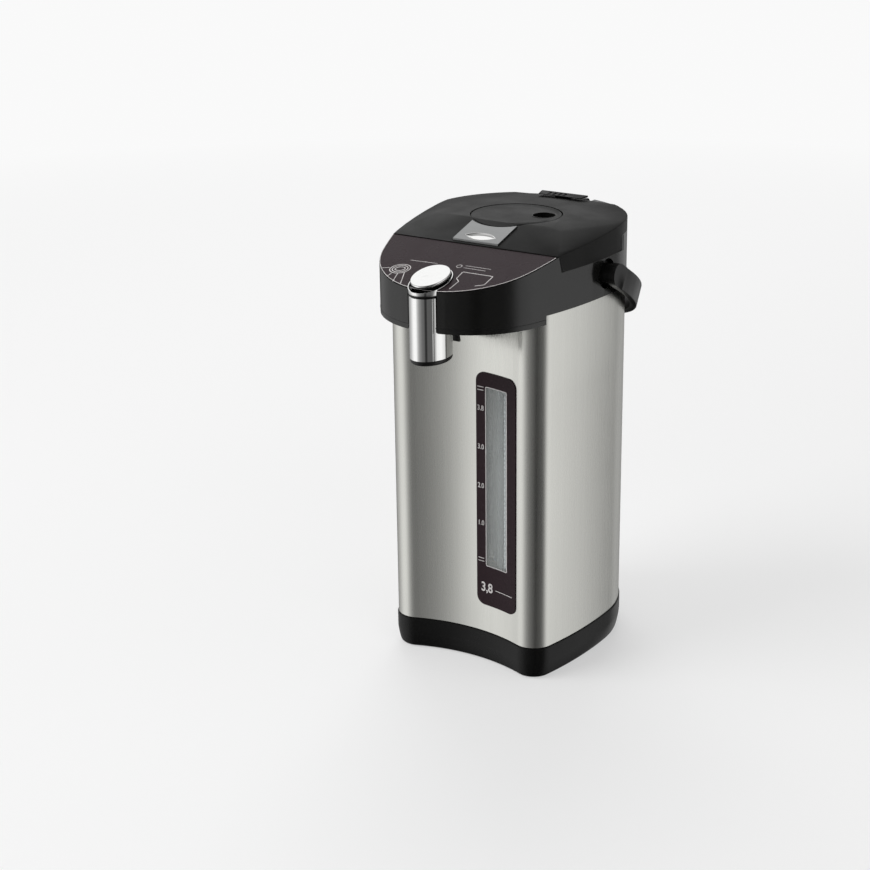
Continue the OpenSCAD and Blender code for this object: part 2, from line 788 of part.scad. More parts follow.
module power_inlet() {
  color([0.07, 0.07, 0.07]) difference() {
    union() {
      box([-17, 92, 7], [17, axis_y + body_half_w + 0.6, 27]);
      // flange inside the skirt
      box([-19, 108.5, ledge_z + 0.4], [19, 110, 29]);
    }
    // the mouth, with its two chamfered lower corners
    translate([0, 98, 17]) rotate([-90, 0, 0]) linear_extrude(30)
      polygon([[-12.3, -8.5], [12.3, -8.5], [12.3, 3.5], [7.3, 8.5], [-7.3, 8.5], [-12.3, 3.5]]);
    for (x = [-7, 0, 7]) translate([x, 90, x == 0 ? 15 : 19]) rotate([-90, 0, 0]) cylinder(h = 10, r = 1.6);
  }
}

module inlet_pins() {
  color([0.85, 0.8, 0.6]) for (x = [-7, 0, 7])
    translate([x, 88, x == 0 ? 15 : 19]) rotate([-90, 0, 0]) cylinder(h = 23, r = 1.55);
}

// Carry handle

module handle_pins() {
  color([0.3, 0.3, 0.3]) for (s = [-1, 1]) {
    bar_x(handle_pin_r, s > 0 ? 80 : -handle_pin_x, s > 0 ? handle_pin_x : -80, pivot_y, pivot_z);
    bar_x(12.4, s > 0 ? 80 : -82, s > 0 ? 82 : -80, pivot_y, pivot_z);
  }
}

// The bail in its own plane: x across, y along the arms from the pivots
module bail_plan(grow) {
  a = handle_in[0] + grow;
  b = handle_in[1] + grow;
  c = (axis_y - pivot_y) / cos(handle_drop);
  polygon(concat(
    [for (i = [0:40]) [a * cos(180 * i / 40), c + b * sin(180 * i / 40)]],
    [[-a, -9], [a, -9]]));
}

module carry_handle() {
  in_x = handle_in[0];
  out_x = in_x + handle_t;
  color([0.09, 0.09, 0.09]) difference() {
    union() {
      translate([0, pivot_y, pivot_z]) rotate([-handle_drop, 0, 0]) translate([0, 0, -handle_band / 2])
        linear_extrude(handle_band) difference() {
          bail_plan(handle_t);
          bail_plan(0);
          translate([-200, -20]) square([400, 20]);
        }
      for (s = [-1, 1]) {
        bar_x(handle_band / 2, s > 0 ? in_x : -out_x, s > 0 ? out_x : -in_x, pivot_y, pivot_z);
        bar_x(8.5, s > 0 ? 82.5 : -in_x - 0.5, s > 0 ? in_x + 0.5 : -82.5, pivot_y, pivot_z);
      }
    }
    bar_x(handle_pin_r + fit_gap, -handle_pin_x - 0.5, handle_pin_x + 0.5, pivot_y, pivot_z);
  }
}

// Lid

module lid_outer() {
  color([0.15, 0.15, 0.14]) difference() {
    lid_solid(0);
    // the hollow inside leaves the plate's well, the latch's bearings and a rim at the rear
    difference() {
      lid_solid(lid_t);
      translate([0, plate_y, 300]) cylinder(h = 100, r = plate_r + 2.6, $fn = 96);
      for (s = [-1, 1])
        box([s * 23.2 - 1.5, latch_y - 3.5, latch_z - 4], [s * 23.2 + 1.5, latch_y + 3.5, far]);
      difference() {
        box([-100, skirt_end_y - lid_t, crease_z], [100, lid_rear_y, crease_z + 1.9]);
        at_axis() translate([0, 0, 340]) cylinder(h = 40, r = 61);
      }
    }
    // the pump plate's well, and the seat of the inner plate that closes it below
    translate([0, plate_y, lid_floor - 10]) cylinder(h = 70, r = plate_r + 0.5, $fn = 96);
    at_axis() translate([0, 0, lid_floor - 20]) cylinder(h = 20 + fit_gap, r = disc_r + seam);
    // pocket under the latch lever, its bores and the hook's way
    translate([0, 0, 351]) linear_extrude(30) latch_plan(0.4);
    bar_x(latch_pin_r + fit_gap, -24.4, 24.4, latch_y, latch_z);
    box([-12, chord_y - 1, skirt_z - 1], [12, chord_y + 8, 356]);
    // room for the hinge's ears, the release tab's foot and the pins
    for (s = [-1, 1]) translate([s * (ear_x[0] + ear_x[1]) / 2, 0, 0])
      bar_x(ear_r + 0.5, -3.4, 3.4, hinge_y, hinge_z);
    bar_x(hinge_pin_r, -16, 16, hinge_y, hinge_z);
    bar_x(tab_pin_r + fit_gap, -12.5, 12.5, tab_y, tab_z);
    box([-7, tab_y - 5, hinge_z - 2], [7, hinge_y + 6, hinge_z + 12]);
  }
}

// The lid's outer solid with its facet, skirts and hinge arms, inset by d
module lid_solid(d) {
  intersection() {
    union() {
      intersection() {
        dome(d);
        box([-100, chord_y + d, d > 0 ? crease_z - d : crease_z + seam], [100, lid_rear_y - d, far]);
      }
      // the hollow stops a wall below the rim
      prism_lid(d, d > 0 ? skirt_z - 5 : plate_low, crease_z + (d > 0 ? -1.9 : 0.5));
    }
    below_plane(chord_y, facet_z(chord_y) - d, lid_slope);
  }
  if (d == 0) for (s = [-1, 1]) {
    hull() {
      bar_x(knuckle_r, s > 0 ? 7.5 : -14.6, s > 0 ? 14.6 : -7.5, hinge_y, hinge_z);
      box([s > 0 ? 7.5 : -14.6, 88, hinge_z - 5], [s > 0 ? 14.6 : -7.5, 90, hinge_z + 2.6]);
    }
  }
}

// The lid's side skirts and closed rim below the crease
module prism_lid(d, z0, z1) {
  intersection() {
    prism(head_outline(d), z0, z1);
    union() {
      lid_space(d, z0);
      box([-100, skirt_end_y - 3, crease_z + (d > 0 ? 0.2 : seam)], [100, lid_rear_y - d, far]);
    }
  }
}

module latch_plan(grow) {
  difference() {
    translate([-latch_half_w - grow, latch_front_y - grow]) square([2 * (latch_half_w + grow), 32]);
    translate([0, plate_y]) circle(plate_r + 3 - grow, $fn = 96);
  }
}

module lid_inner() {
  color([0.7, 0.7, 0.7]) difference() {
    union() {
      intersection() {
        prism(head_outline(3.2), plate_low, lid_floor);
        box([-100, chord_y + 8.6, 300], [100, skirt_end_y - lid_t - seam, far]);
      }
      at_axis() {
        translate([0, 0, plate_low]) cylinder(h = lid_floor - plate_low, r = disc_r, $fn = 128);
        translate([0, 0, 334]) cylinder(h = plate_low + 0.1 - 334, r1 = 58, r2 = 62);
      }
      // a wall up to the lid's rim behind the skirts
      intersection() {
        at_axis() ring(59, 60.5, lid_floor - eps, crease_z + 1.5);
        box([-100, skirt_end_y + 1, 300], [100, 130, far]);
      }
    }
    // the hook's way
    box([-11.5, -60, 340], [11.5, -37, 360]);
    at_axis() translate([0, 0, 335.5]) cylinder(h = 12.5, r1 = 56.5, r2 = 60);
    translate([hole_at[0], hole_at[1], 330]) cylinder(h = 30, r = 5);
    translate([bellows_at[0], bellows_at[1], 330]) cylinder(h = 30, r = 3);
  }
}

module lid_gasket() {
  color([0.85, 0.85, 0.82]) at_axis() ring(62.2, 70, 345.8, plate_low);
}

module steam_tube() {
  color([0.08, 0.08, 0.08]) translate([hole_at[0], hole_at[1], lid_floor]) difference() {
    union() {
      cylinder(h = 9, r = 8);
      translate([0, 0, -6]) cylinder(h = 6.01, r = 4.9);
    }
    translate([0, 0, 2]) cylinder(h = 8, r = 6.6);
    translate([0, 0, -7]) cylinder(h = 12, r = 2.5);
  }
}

module bellows() {
  folds = 4;
  step = 4.6;
  color([0.15, 0.15, 0.15]) translate([bellows_at[0], bellows_at[1], lid_floor]) rotate_extrude()
    polygon(concat(
      [for (i = [0:2 * folds]) [i % 2 == 0 ? 17.5 : 13.5, i * step / 2]],
      [for (i = [2 * folds:-1:0]) [i % 2 == 0 ? 16.3 : 12.3, i * step / 2]]));
}

module pump_spring() {
  color([0.7, 0.7, 0.7]) translate([bellows_at[0], bellows_at[1], lid_floor + 0.2]) coil(9, 0.5, 18, 3);
}

module pump_plate() {
  skirt = 8;
  color([0.14, 0.14, 0.13]) difference() {
    union() {
      // dished disc with a skirt that slides in the lid's well, cut off level with the lid's facet
      intersection() {
        translate([0, plate_y, lid_top]) rotate_extrude($fn = 96) polygon([[0, -1.2], [plate_r - 8, -0.5],
          [plate_r - 0.8, -0.2], [plate_r, -0.9], [plate_r, -skirt], [plate_r - 1.8, -skirt],
          [plate_r - 1.8, -3.6], [0, -3.6]]);
        below_plane(chord_y, facet_z(chord_y) + 0.2, lid_slope);
      }
      translate([hole_at[0], hole_at[1], lid_top - skirt]) cylinder(h = skirt - 2, r = steam_r + 1.4);
      // the disc that presses on the bellows
      translate([bellows_at[0], bellows_at[1], lid_top - 5.2]) cylinder(h = 2.6, r = 17);
    }
    translate([hole_at[0], hole_at[1], lid_top - 10]) cylinder(h = 20, r = steam_r);
  }
}

module latch_lever() {
  recess_y = latch_front_y + 8.5;
  color([0.6, 0.6, 0.6]) difference() {
    intersection() {
      translate([0, 0, 355]) linear_extrude(30) latch_plan(0);
      below_plane(chord_y, facet_z(chord_y) + 1.4, lid_slope);
    }
    below_plane(chord_y, facet_z(chord_y) - 1.2, lid_slope);
    // finger recess near the front
    translate([0, recess_y, facet_z(recess_y) + 1.4]) rotate([facet_tilt, 0, 0])
      translate([0, 0, 21.2]) sphere(22, $fn = 64);
  }
  color([0.2, 0.2, 0.2]) {
    // arms down to the axis, and the hook, half a millimetre behind the catch slot's edge
    for (s = [-1, 1]) translate([s * 16 - 1.5, latch_y - 4, latch_z - 1])
      cube([3, 7, facet_z(latch_y - 4) - latch_z]);
    bar_x(latch_pin_r, -24, 24, latch_y, latch_z);
    box([-10, latch_front_y + 2, hook_z[0]], [10, latch_front_y + 4, facet_z(latch_front_y + 2) - 1]);
    box([-10, latch_front_y + 1.1, hook_z[0]], [10, latch_front_y + 3, hook_z[1]]);
  }
}

module latch_spring() {
  spring_y = -33;
  spring_r = 3.2;
  wire_r = 0.4;
  // it ends below the lever's underside at the spring's front, where the facet is lowest
  color([0.7, 0.7, 0.7]) translate([0, spring_y, lid_floor + 0.1])
    coil(spring_r, wire_r, facet_z(spring_y - spring_r - wire_r) - 1.6 - lid_floor, 6);
}

module lid_hinge_pins() {
  color([0.75, 0.75, 0.75]) for (s = [-1, 1])
    bar_x(hinge_pin_r, s > 0 ? 8.5 : -20.6, s > 0 ? 20.6 : -8.5, hinge_y, hinge_z);
}

module release_tab() {
  color([0.12, 0.12, 0.12]) {
    difference() {
      hull() {
        box([-tab_half_w + 2, 91, tab_z + 4.3], [tab_half_w - 2, 93, tab_z + 4.9]);
        box([-tab_half_w, 100, tab_z + 4.1], [tab_half_w, 102, tab_z + 5.6]);
      }
      // finger grooves
      for (i = [-1.5:1:1.5]) box([i * 5 - 5, 92.5, tab_z + 4.75], [i * 5 - 3, 98.5, tab_z + 6]);
    }
    box([-6.5, tab_y - 3, hinge_z - 0.5], [6.5, tab_y + 3, tab_z + 4.4]);
    bar_x(tab_pin_r, -12, 12, tab_y, tab_z);
  }
}

steel_shell();
base_skirt();
bottom_plate();
rubber_feet();
base_screws();
head_shell();
beak_underside();
control_panel();
control_board();
hinge_block();
gauge_panel();
gauge_window();
level_tube();
spout_cover();
spout_back();
spout_collar();
spout_nozzle();
dispense_switch();
button_spring();
cup_switch();
mouth_ring();
mouth_seal();
inner_container();
insulation_sleeve();
heater_plate();
band_heater();
thermostat();
thermal_fuse();
pump_bracket();
pump_motor();
pump_housing();
tank_hose();
riser_hose();
spout_hose();
power_board();
power_inlet();
inlet_pins();
handle_pins();
dispense_button();
button_plunger();
cup_lever();
carry_handle();
lid_outer();
lid_inner();
lid_gasket();
steam_tube();
bellows();
pump_spring();
latch_spring();
lid_hinge_pins();
pump_plate();
latch_lever();
release_tab();
pump_impeller();
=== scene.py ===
import json
from math import asin, atan, atan2, cos, degrees, pi, radians, sin, sqrt

import bmesh
import bpy
from mathutils import Matrix, Vector


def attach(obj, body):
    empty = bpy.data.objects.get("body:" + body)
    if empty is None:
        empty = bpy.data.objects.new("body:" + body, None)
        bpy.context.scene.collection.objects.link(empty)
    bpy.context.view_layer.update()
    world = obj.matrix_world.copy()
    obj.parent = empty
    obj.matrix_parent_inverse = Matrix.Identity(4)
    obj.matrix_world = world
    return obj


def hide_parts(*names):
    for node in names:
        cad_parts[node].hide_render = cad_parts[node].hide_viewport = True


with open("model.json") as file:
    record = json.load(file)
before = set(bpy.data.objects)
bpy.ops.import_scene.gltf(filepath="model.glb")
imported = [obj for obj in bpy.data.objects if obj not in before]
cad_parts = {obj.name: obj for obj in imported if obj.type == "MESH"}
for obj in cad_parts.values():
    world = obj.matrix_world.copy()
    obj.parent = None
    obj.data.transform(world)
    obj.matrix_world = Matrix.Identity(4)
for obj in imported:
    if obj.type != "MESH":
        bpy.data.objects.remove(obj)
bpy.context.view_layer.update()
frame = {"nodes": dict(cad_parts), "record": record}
nodes = frame["nodes"]
slotOf = {part["node"]: part["material_slot"] for part in frame["record"]["subparts"]}
bodyOf = {node: body for body, members in frame["record"]["behaviour"]["bodies"].items() for node in members}
print("stage: frame loaded")


# finishes: every pattern reads object coordinates, in metres
class Finish:
    # a material under construction: its node tree, its shader and its coordinates
    def __init__(self, name, **values):
        self.material = bpy.data.materials.new(name)
        self.material.use_nodes = True
        self.tree = self.material.node_tree
        self.shader = self.tree.nodes["Principled BSDF"]
        self.coords = self.tree.nodes.new("ShaderNodeTexCoord").outputs["Object"]
        for socket, value in values.items():
            self.shader.inputs[socket.replace("_", " ")].default_value = value

    def link(self, source, node, socket):
        self.tree.links.new(source, node.inputs[socket])

    def mapped(self, stretch=(1, 1, 1), shift=(0, 0, 0), turn=(0, 0, 0)):
        node = self.tree.nodes.new("ShaderNodeMapping")
        node.inputs["Scale"].default_value = stretch
        node.inputs["Location"].default_value = shift
        node.inputs["Rotation"].default_value = turn
        self.link(self.coords, node, "Vector")
        return node.outputs["Vector"]

    def noise(self, scale, detail=3, stretch=(1, 1, 1), rough=0.5):
        node = self.tree.nodes.new("ShaderNodeTexNoise")
        node.inputs["Scale"].default_value = scale
        node.inputs["Detail"].default_value = detail
        node.inputs["Roughness"].default_value = rough
        self.link(self.mapped(stretch), node, "Vector")
        return node.outputs["Fac"]

    def cells(self, scale, stretch=(1, 1, 1)):
        node = self.tree.nodes.new("ShaderNodeTexVoronoi")
        node.inputs["Scale"].default_value = scale
        self.link(self.mapped(stretch), node, "Vector")
        return node.outputs["Distance"]

    def spread(self, source, low, high, fromLow=0.3, fromHigh=0.7):
        node = self.tree.nodes.new("ShaderNodeMapRange")
        ends = {"From Min": fromLow, "From Max": fromHigh, "To Min": low, "To Max": high}
        for socket, value in ends.items():
            node.inputs[socket].default_value = value
        self.link(source, node, "Value")
        return node.outputs["Result"]

    def mix(self, factor, first, second):
        node = self.tree.nodes.new("ShaderNodeMix")
        node.data_type = "RGBA"
        self.link(factor, node, "Factor")
        for index, value in ((6, first), (7, second)):
            if hasattr(value, "links"):
                self.tree.links.new(value, node.inputs[index])
            else:
                node.inputs[index].default_value = (*value, 1)
        return node.outputs[2]

    def add(self, first, second, how="ADD"):
        node = self.tree.nodes.new("ShaderNodeMath")
        node.operation = how
        for index, value in enumerate((first, second)):
            if hasattr(value, "links"):
                self.tree.links.new(value, node.inputs[index])
            else:
                node.inputs[index].default_value = value
        return node.outputs[0]

    def relief(self, height, depth, strength=1.0):
        node = self.tree.nodes.new("ShaderNodeBump")
        node.inputs["Distance"].default_value = depth
        node.inputs["Strength"].default_value = strength
        self.link(height, node, "Height")
        self.link(node.outputs["Normal"], self.shader, "Normal")

    def colour(self, source):
        self.link(source, self.shader, "Base Color")

    def roughness(self, source):
        self.link(source, self.shader, "Roughness")


def shade(colour, factor):
    return tuple(min(1, c * factor) for c in colour)


# moulded plastic and rubber: broad tone, fine grain, faint smudges
def moulded(name, colour, rough, grain=2200, depth=0.00002, tone=0.25, smudge=0.08, specular=0.5):
    f = Finish(name, Specular_IOR_Level=specular)
    f.colour(f.mix(f.noise(28, 4), shade(colour, 1 - tone), shade(colour, 1 + tone)))
    f.roughness(f.spread(f.noise(45, 5), rough - smudge, rough + smudge))
    f.relief(f.noise(grain, 2), depth)
    return f.material


# drawn, rolled or turned metal: streaks along the stretch, uneven sheen
def metal(name, colour, rough, grain=900, stretch=(1, 1, 0.02), depth=0.00001, tone=0.06, smudge=0.05):
    f = Finish(name, Metallic=1.0)
    streaks = f.noise(grain, 4, stretch, 0.6)
    f.colour(f.mix(f.spread(streaks, 0, 1), shade(colour, 1 - tone), shade(colour, 1 + tone)))
    patches = f.spread(f.noise(14, 3), rough - smudge, rough + smudge)
    f.roughness(f.add(patches, f.spread(streaks, -0.03, 0.03)))
    f.relief(streaks, depth)
    return f.material


steelLook = {"colour": (0.70, 0.70, 0.66), "rough": 0.28, "streak": 2600, "length": 0.012, "depth": 0.000004,
             "broadStreak": 170, "broadLength": 0.006, "darker": 0.96, "lighter": 1.03, "sheen": 0.04,
             "patch": 0.03}


def brushedSteel():
    f = Finish("brushed_steel", Metallic=1.0, Anisotropic=0.35)
    fine = f.noise(steelLook["streak"], 5, (1, 1, steelLook["length"]), 0.65)
    broad = f.noise(steelLook["broadStreak"], 3, (1, 1, steelLook["broadLength"]), 0.5)
    both = f.add(f.spread(fine, 0, 0.6), f.spread(broad, 0, 0.4))
    colour, rough, patch = steelLook["colour"], steelLook["rough"], steelLook["patch"]
    f.colour(f.mix(both, shade(colour, steelLook["darker"]), shade(colour, steelLook["lighter"])))
    sheen = f.spread(fine, -steelLook["sheen"], steelLook["sheen"])
    f.roughness(f.add(sheen, f.spread(f.noise(9, 2), rough - patch, rough + patch)))
    f.relief(fine, steelLook["depth"])
    return f.material


def panelFilm():
    # printed film: a very fine metallic fleck under a clear coat
    f = Finish("panel_film", Specular_IOR_Level=0.08)
    fleck = f.cells(3200)
    f.colour(f.mix(f.spread(fleck, 1, 0, 0.1, 0.45), (0.021, 0.0115, 0.0145), (0.034, 0.018, 0.023)))
    f.roughness(f.spread(f.noise(60, 4), 0.22, 0.34))
    f.relief(f.noise(900, 2), 0.000004)
    return f.material


def clearPlastic(name, tint, rough, weight):
    f = Finish(name, Transmission_Weight=weight, IOR=1.45)
    f.colour(f.mix(f.noise(40, 3), shade(tint, 0.95), tint))
    f.roughness(f.spread(f.noise(70, 4), rough, rough + 0.08))
    f.relief(f.noise(300, 2), 0.000004)
    return f.material


def circuitBoard():
    f = Finish("circuit_board")
    f.colour(f.mix(f.spread(f.cells(260), 0, 1, 0.2, 0.3), (0.01, 0.08, 0.03), (0.03, 0.2, 0.08)))
    f.roughness(f.spread(f.noise(200, 2), 0.35, 0.5))
    f.relief(f.cells(260), 0.00003)
    return f.material


def woven(name, colour, scale, depth):
    f = Finish(name, Specular_IOR_Level=0.2)
    threads = f.add(f.noise(scale, 2, (1, 1, 0.1)), f.noise(scale, 2, (0.1, 0.1, 1)), "MAXIMUM")
    f.colour(f.mix(f.spread(threads, 0, 1), shade(colour, 0.6), shade(colour, 1.15)))
    f.roughness(f.spread(threads, 0.95, 0.75))
    f.relief(threads, depth)
    return f.material


looks = {
    "brushed_steel": brushedSteel(),
    "gloss_black": moulded("gloss_black", (0.006, 0.006, 0.0055), 0.17, 1400, 0.000005, 0.2, 0.04),
    "satin_black": moulded("satin_black", (0.006, 0.006, 0.0058), 0.34, 2600, 0.00001, 0.25, 0.06, 0.4),
    "lid_black": moulded("lid_black", (0.006, 0.006, 0.0056), 0.4, 2400, 0.00002, 0.15, 0.05, 0.11),
    "panel_film": panelFilm(),
    "clear_window": clearPlastic("clear_window", (0.93, 0.95, 0.95), 0.05, 0.96),
    "clear_tube": clearPlastic("clear_tube", (0.82, 0.86, 0.87), 0.12, 0.85),
    "chrome": metal("chrome", (0.93, 0.93, 0.92), 0.07, 500, (1, 1, 1), 0.000001, 0.02, 0.015),
    "latch_silver": metal("latch_silver", (0.34, 0.345, 0.345), 0.36, 1500, (0.02, 1, 1), 0.000005, 0.08,
                          0.04),
    "rubber": moulded("rubber", (0.02, 0.02, 0.02), 0.75, 1500, 0.00004, 0.3, 0.08, 0.3),
    "silicone": moulded("silicone", (0.72, 0.71, 0.68), 0.5, 900, 0.00002, 0.08, 0.08, 0.4),
    "stainless": metal("stainless", (0.72, 0.72, 0.71), 0.24, 700, (0.02, 0.02, 1), 0.00001, 0.07, 0.06),
    "spring_steel": metal("spring_steel", (0.6, 0.6, 0.6), 0.3, 2500, (1, 1, 1), 0.00001),
    "zinc_steel": metal("zinc_steel", (0.62, 0.63, 0.65), 0.42, 160, (1, 1, 1), 0.00002, 0.18, 0.1),
    "cast_aluminium": metal("cast_aluminium", (0.6, 0.6, 0.6), 0.55, 1300, (1, 1, 1), 0.00008, 0.12, 0.1),
    "mica_band": woven("mica_band", (0.62, 0.55, 0.4), 600, 0.0001),
    "felt": woven("felt", (0.6, 0.57, 0.5), 1800, 0.0003),
    "white_plastic": moulded("white_plastic", (0.72, 0.71, 0.67), 0.42, 1300, 0.00002, 0.07),
    "circuit_board": circuitBoard(),
    "brass": metal("brass", (0.75, 0.6, 0.3), 0.3, 1800, (1, 0.02, 1), 0.00001, 0.08),
}


def printInkAndPaintedHighlight():
    # screen-printed ink, slightly uneven; the same pale ink is also laid along the panel film's edge as a
    # painted highlight
    f = Finish("print_ink_and_painted_highlight", Specular_IOR_Level=0.3)
    f.colour(f.mix(f.noise(900, 4), (0.5, 0.47, 0.47), (0.82, 0.8, 0.79)))
    f.roughness(f.spread(f.noise(400, 2), 0.4, 0.55))
    f.relief(f.noise(2500, 2), 0.00001)
    return f.material


def gaugeBackFinish():
    # frosted grey plastic with faint upright draw lines
    f = Finish("gauge_back", Specular_IOR_Level=0.2)
    f.colour(f.mix(f.noise(160, 2, (1, 1, 0.02)), (0.6, 0.62, 0.6), (0.68, 0.7, 0.68)))
    f.roughness(f.spread(f.noise(90, 3), 0.4, 0.55))
    f.relief(f.noise(700, 2, (1, 1, 0.02)), 0.000004)
    return f.material


def thinClear(name, tint, alpha, rough):
    # thin clear plastic, seen straight through
    f = Finish(name, Alpha=alpha, Specular_IOR_Level=0.5)
    f.colour(f.mix(f.noise(40, 3), shade(tint, 0.96), tint))
    f.roughness(f.spread(f.noise(70, 4), rough, rough + 0.05))
    f.relief(f.noise(300, 2), 0.000002)
    return f.material


inkAndPaintedHighlightLook = printInkAndPaintedHighlight()
gaugeBackLook = gaugeBackFinish()
windowLook = thinClear("window_clear", (0.55, 0.58, 0.57), 0.3, 0.3)
tubeLook = thinClear("tube_clear", (0.55, 0.6, 0.62), 0.3, 0.1)
ribLook = moulded("gauge_ribs", (0.86, 0.9, 0.94), 0.4, 1500, 0.00001, 0.04, 0.05, 0.4)
baseLook = moulded("base_black", (0.006, 0.006, 0.0058), 0.24, 1800, 0.000008, 0.2, 0.05, 0.16)

for node, thing in nodes.items():
    thing.data.materials.clear()
    thing.data.materials.append(looks[slotOf[node]])
print("stage: finishes")

# outlines, in millimetres

pot = {"halfWidth": 86.5, "axisY": 30.3, "sideRadius": 340, "cornerRadius": 19, "cornerAngle": 14.4,
       "frontY": -58.1, "noseY": -125.5, "baseHeight": 28.5, "steelTop": 317, "creaseZ": 361.2,
       "chordY": -49.5, "panelSlope": 0.25, "panelRise": 0.6, "facetSlope": 0.29, "facetRise": 1.2,
       "beakStepY": -61, "skirtZ": 348.5, "skirtEndY": 45}
spout = {"halfWidth": 15.4, "frontY": -133.1, "length": 41.6, "low": 283, "top": 337.8,
         "collarTop": 347.4, "collarOut": 0.4, "collarWall": 0.8, "groove": 1.6, "buttonTop": 351.4,
         "seamY": -126.4, "seamGap": 0.4, "columnLift": 4, "wall": 1.4, "lip": 0.35, "topLip": 0.4}
spoutMidY = spout["frontY"] + spout["length"] / 2
panelTilt = atan(pot["panelSlope"])

sideX = pot["halfWidth"] - pot["sideRadius"]
cornerReach = pot["sideRadius"] - pot["cornerRadius"]
cornerX = sideX + cornerReach * cos(radians(pot["cornerAngle"]))
cornerY = pot["axisY"] - cornerReach * sin(radians(pot["cornerAngle"]))
frontDrop = cornerY - pot["frontY"]
frontRadius = (cornerX ** 2 + frontDrop ** 2 - pot["cornerRadius"] ** 2) / (
    2 * (pot["cornerRadius"] - frontDrop))
frontAngle = degrees(atan2(cornerX, frontDrop + frontRadius))
headLength = pot["axisY"] - pot["noseY"]
noseRadius = (2 * pot["halfWidth"] * pot["sideRadius"] - pot["halfWidth"] ** 2 - headLength ** 2) / (
    2 * (pot["sideRadius"] - headLength))
noseAngle = degrees(atan2(headLength - noseRadius, pot["sideRadius"] - pot["halfWidth"]))


# a plan is a list of arcs (centre x, centre y, radius, from, to, steps) and of corners (x, y)
def bodyPlan(inset):
    return [
        (0, pot["frontY"] - frontRadius, frontRadius + inset, 90 + frontAngle, 90 - frontAngle, 40),
        (cornerX, cornerY, pot["cornerRadius"] - inset, -90 - frontAngle, -pot["cornerAngle"], 20),
        (sideX, pot["axisY"], pot["sideRadius"] - inset, -pot["cornerAngle"], 0, 20),
        (0, pot["axisY"], pot["halfWidth"] - inset, 0, 180, 72),
        (-sideX, pot["axisY"], pot["sideRadius"] - inset, 180, 180 + pot["cornerAngle"], 20),
        (-cornerX, cornerY, pot["cornerRadius"] - inset, 180 + pot["cornerAngle"], 270 + frontAngle, 20)]


def headPlan(inset):
    return [
        (0, pot["noseY"] + noseRadius, noseRadius - inset, -180 + noseAngle, -noseAngle, 80),
        (sideX, pot["axisY"], pot["sideRadius"] - inset, -noseAngle, 0, 30),
        (0, pot["axisY"], pot["halfWidth"] - inset, 0, 180, 72),
        (-sideX, pot["axisY"], pot["sideRadius"] - inset, 180, 180 + noseAngle, 30)]


def spoutPlan(inset, y=None, length=None):
    half = spout["halfWidth"] - inset
    reach = (length or spout["length"]) / 2 - inset
    return [(0, spoutMidY if y is None else y, half, 0, 360, 96, reach / half)]


def roundedPlan(x0, x1, y0, y1, r, steps=8):
    return [(x0 + r, y0 + r, r, 180, 270, steps), (x1 - r, y0),
            (x1 - r, y0 + r, r, 270, 360, steps), (x1, y1 - r),
            (x1 - r, y1 - r, r, 0, 90, steps), (x0 + r, y1),
            (x0 + r, y1 - r, r, 90, 180, steps), (x0, y0 + r)]


def roundPlan(x, y, r, steps=64):
    return [(x, y, r, 0, 360, steps)]


def lensPlan(x, y, half, rise, steps=16):
    # two equal arcs that meet in points at the left and right
    radius = (half ** 2 + rise ** 2) / (2 * rise)
    sweep = degrees(atan2(half, radius - rise))
    return [(x, y + radius - rise, radius, 270 - sweep, 270 + sweep, steps),
            (x, y - radius + rise, radius, 90 - sweep, 90 + sweep, steps)]


# traces a closed plan at a height by spinning and extruding one vertex; gives its edges
def traced(bm, plan, z=0):
    old = set(bm.verts)
    x, y, radius, start = plan[0][:4]
    tip = bm.verts.new((x + radius * cos(radians(start)), y + radius * sin(radians(start)), z))
    for part in plan:
        if len(part) == 2:
            tip = bmesh.ops.extrude_vert_indiv(bm, verts=[tip])["verts"][0]
            tip.co.x, tip.co.y = part
        else:
            x, y, radius, start, end, steps = part[:6]
            made = bmesh.ops.spin(bm, geom=[tip], cent=(x, y, z), axis=(0, 0, 1),
                                  angle=radians(end - start), steps=steps, use_duplicate=False)
            tip = next(g for g in made["geom_last"] if isinstance(g, bmesh.types.BMVert))
    bmesh.ops.remove_doubles(bm, verts=[v for v in bm.verts if v not in old], dist=0.001)
    if len(plan[0]) == 7:
        # a full circle stretched to an oval
        bmesh.ops.scale(bm, vec=(1, plan[0][6], 1), space=Matrix.Translation((-plan[0][0], -plan[0][1], 0)),
                        verts=[v for v in bm.verts if v not in old])
    return [e for e in bm.edges if e.verts[0] not in old and e.verts[1] not in old]


# bridges one outline through a list of levels (height, inset)
def lofted(bm, plan, levels, closed=False):
    loops = [traced(bm, plan(inset), z) for z, inset in levels]
    pairs = list(zip(loops, loops[1:]))
    if closed:
        pairs.append((loops[-1], loops[0]))
    for low, high in pairs:
        bmesh.ops.bridge_loops(bm, edges=low + high)
    return loops


def everything(bm):
    return bm.verts[:] + bm.edges[:] + bm.faces[:]


# splits the faces where a plane crosses them
def scored(bm, point, normal, clear=False):
    bmesh.ops.bisect_plane(bm, geom=everything(bm), dist=0.0005, plane_co=point, plane_no=normal,
                           clear_outer=clear)


def removed(bm, test):
    bmesh.ops.delete(bm, geom=[f for f in bm.faces if test(f.calc_center_median())], context="FACES")


# fills flat loops, the inner ones as holes
def filled(bm, edges):
    bmesh.ops.triangle_fill(bm, use_beauty=True, edges=edges)


def panelZ(y):
    return pot["creaseZ"] + pot["panelRise"] + pot["panelSlope"] * (y - pot["chordY"])


def facetZ(y):
    return pot["creaseZ"] + pot["facetRise"] + pot["facetSlope"] * (y - pot["chordY"])


def frontFaceY(x, inset=0):
    return pot["frontY"] - frontRadius + sqrt((frontRadius + inset) ** 2 - x ** 2)


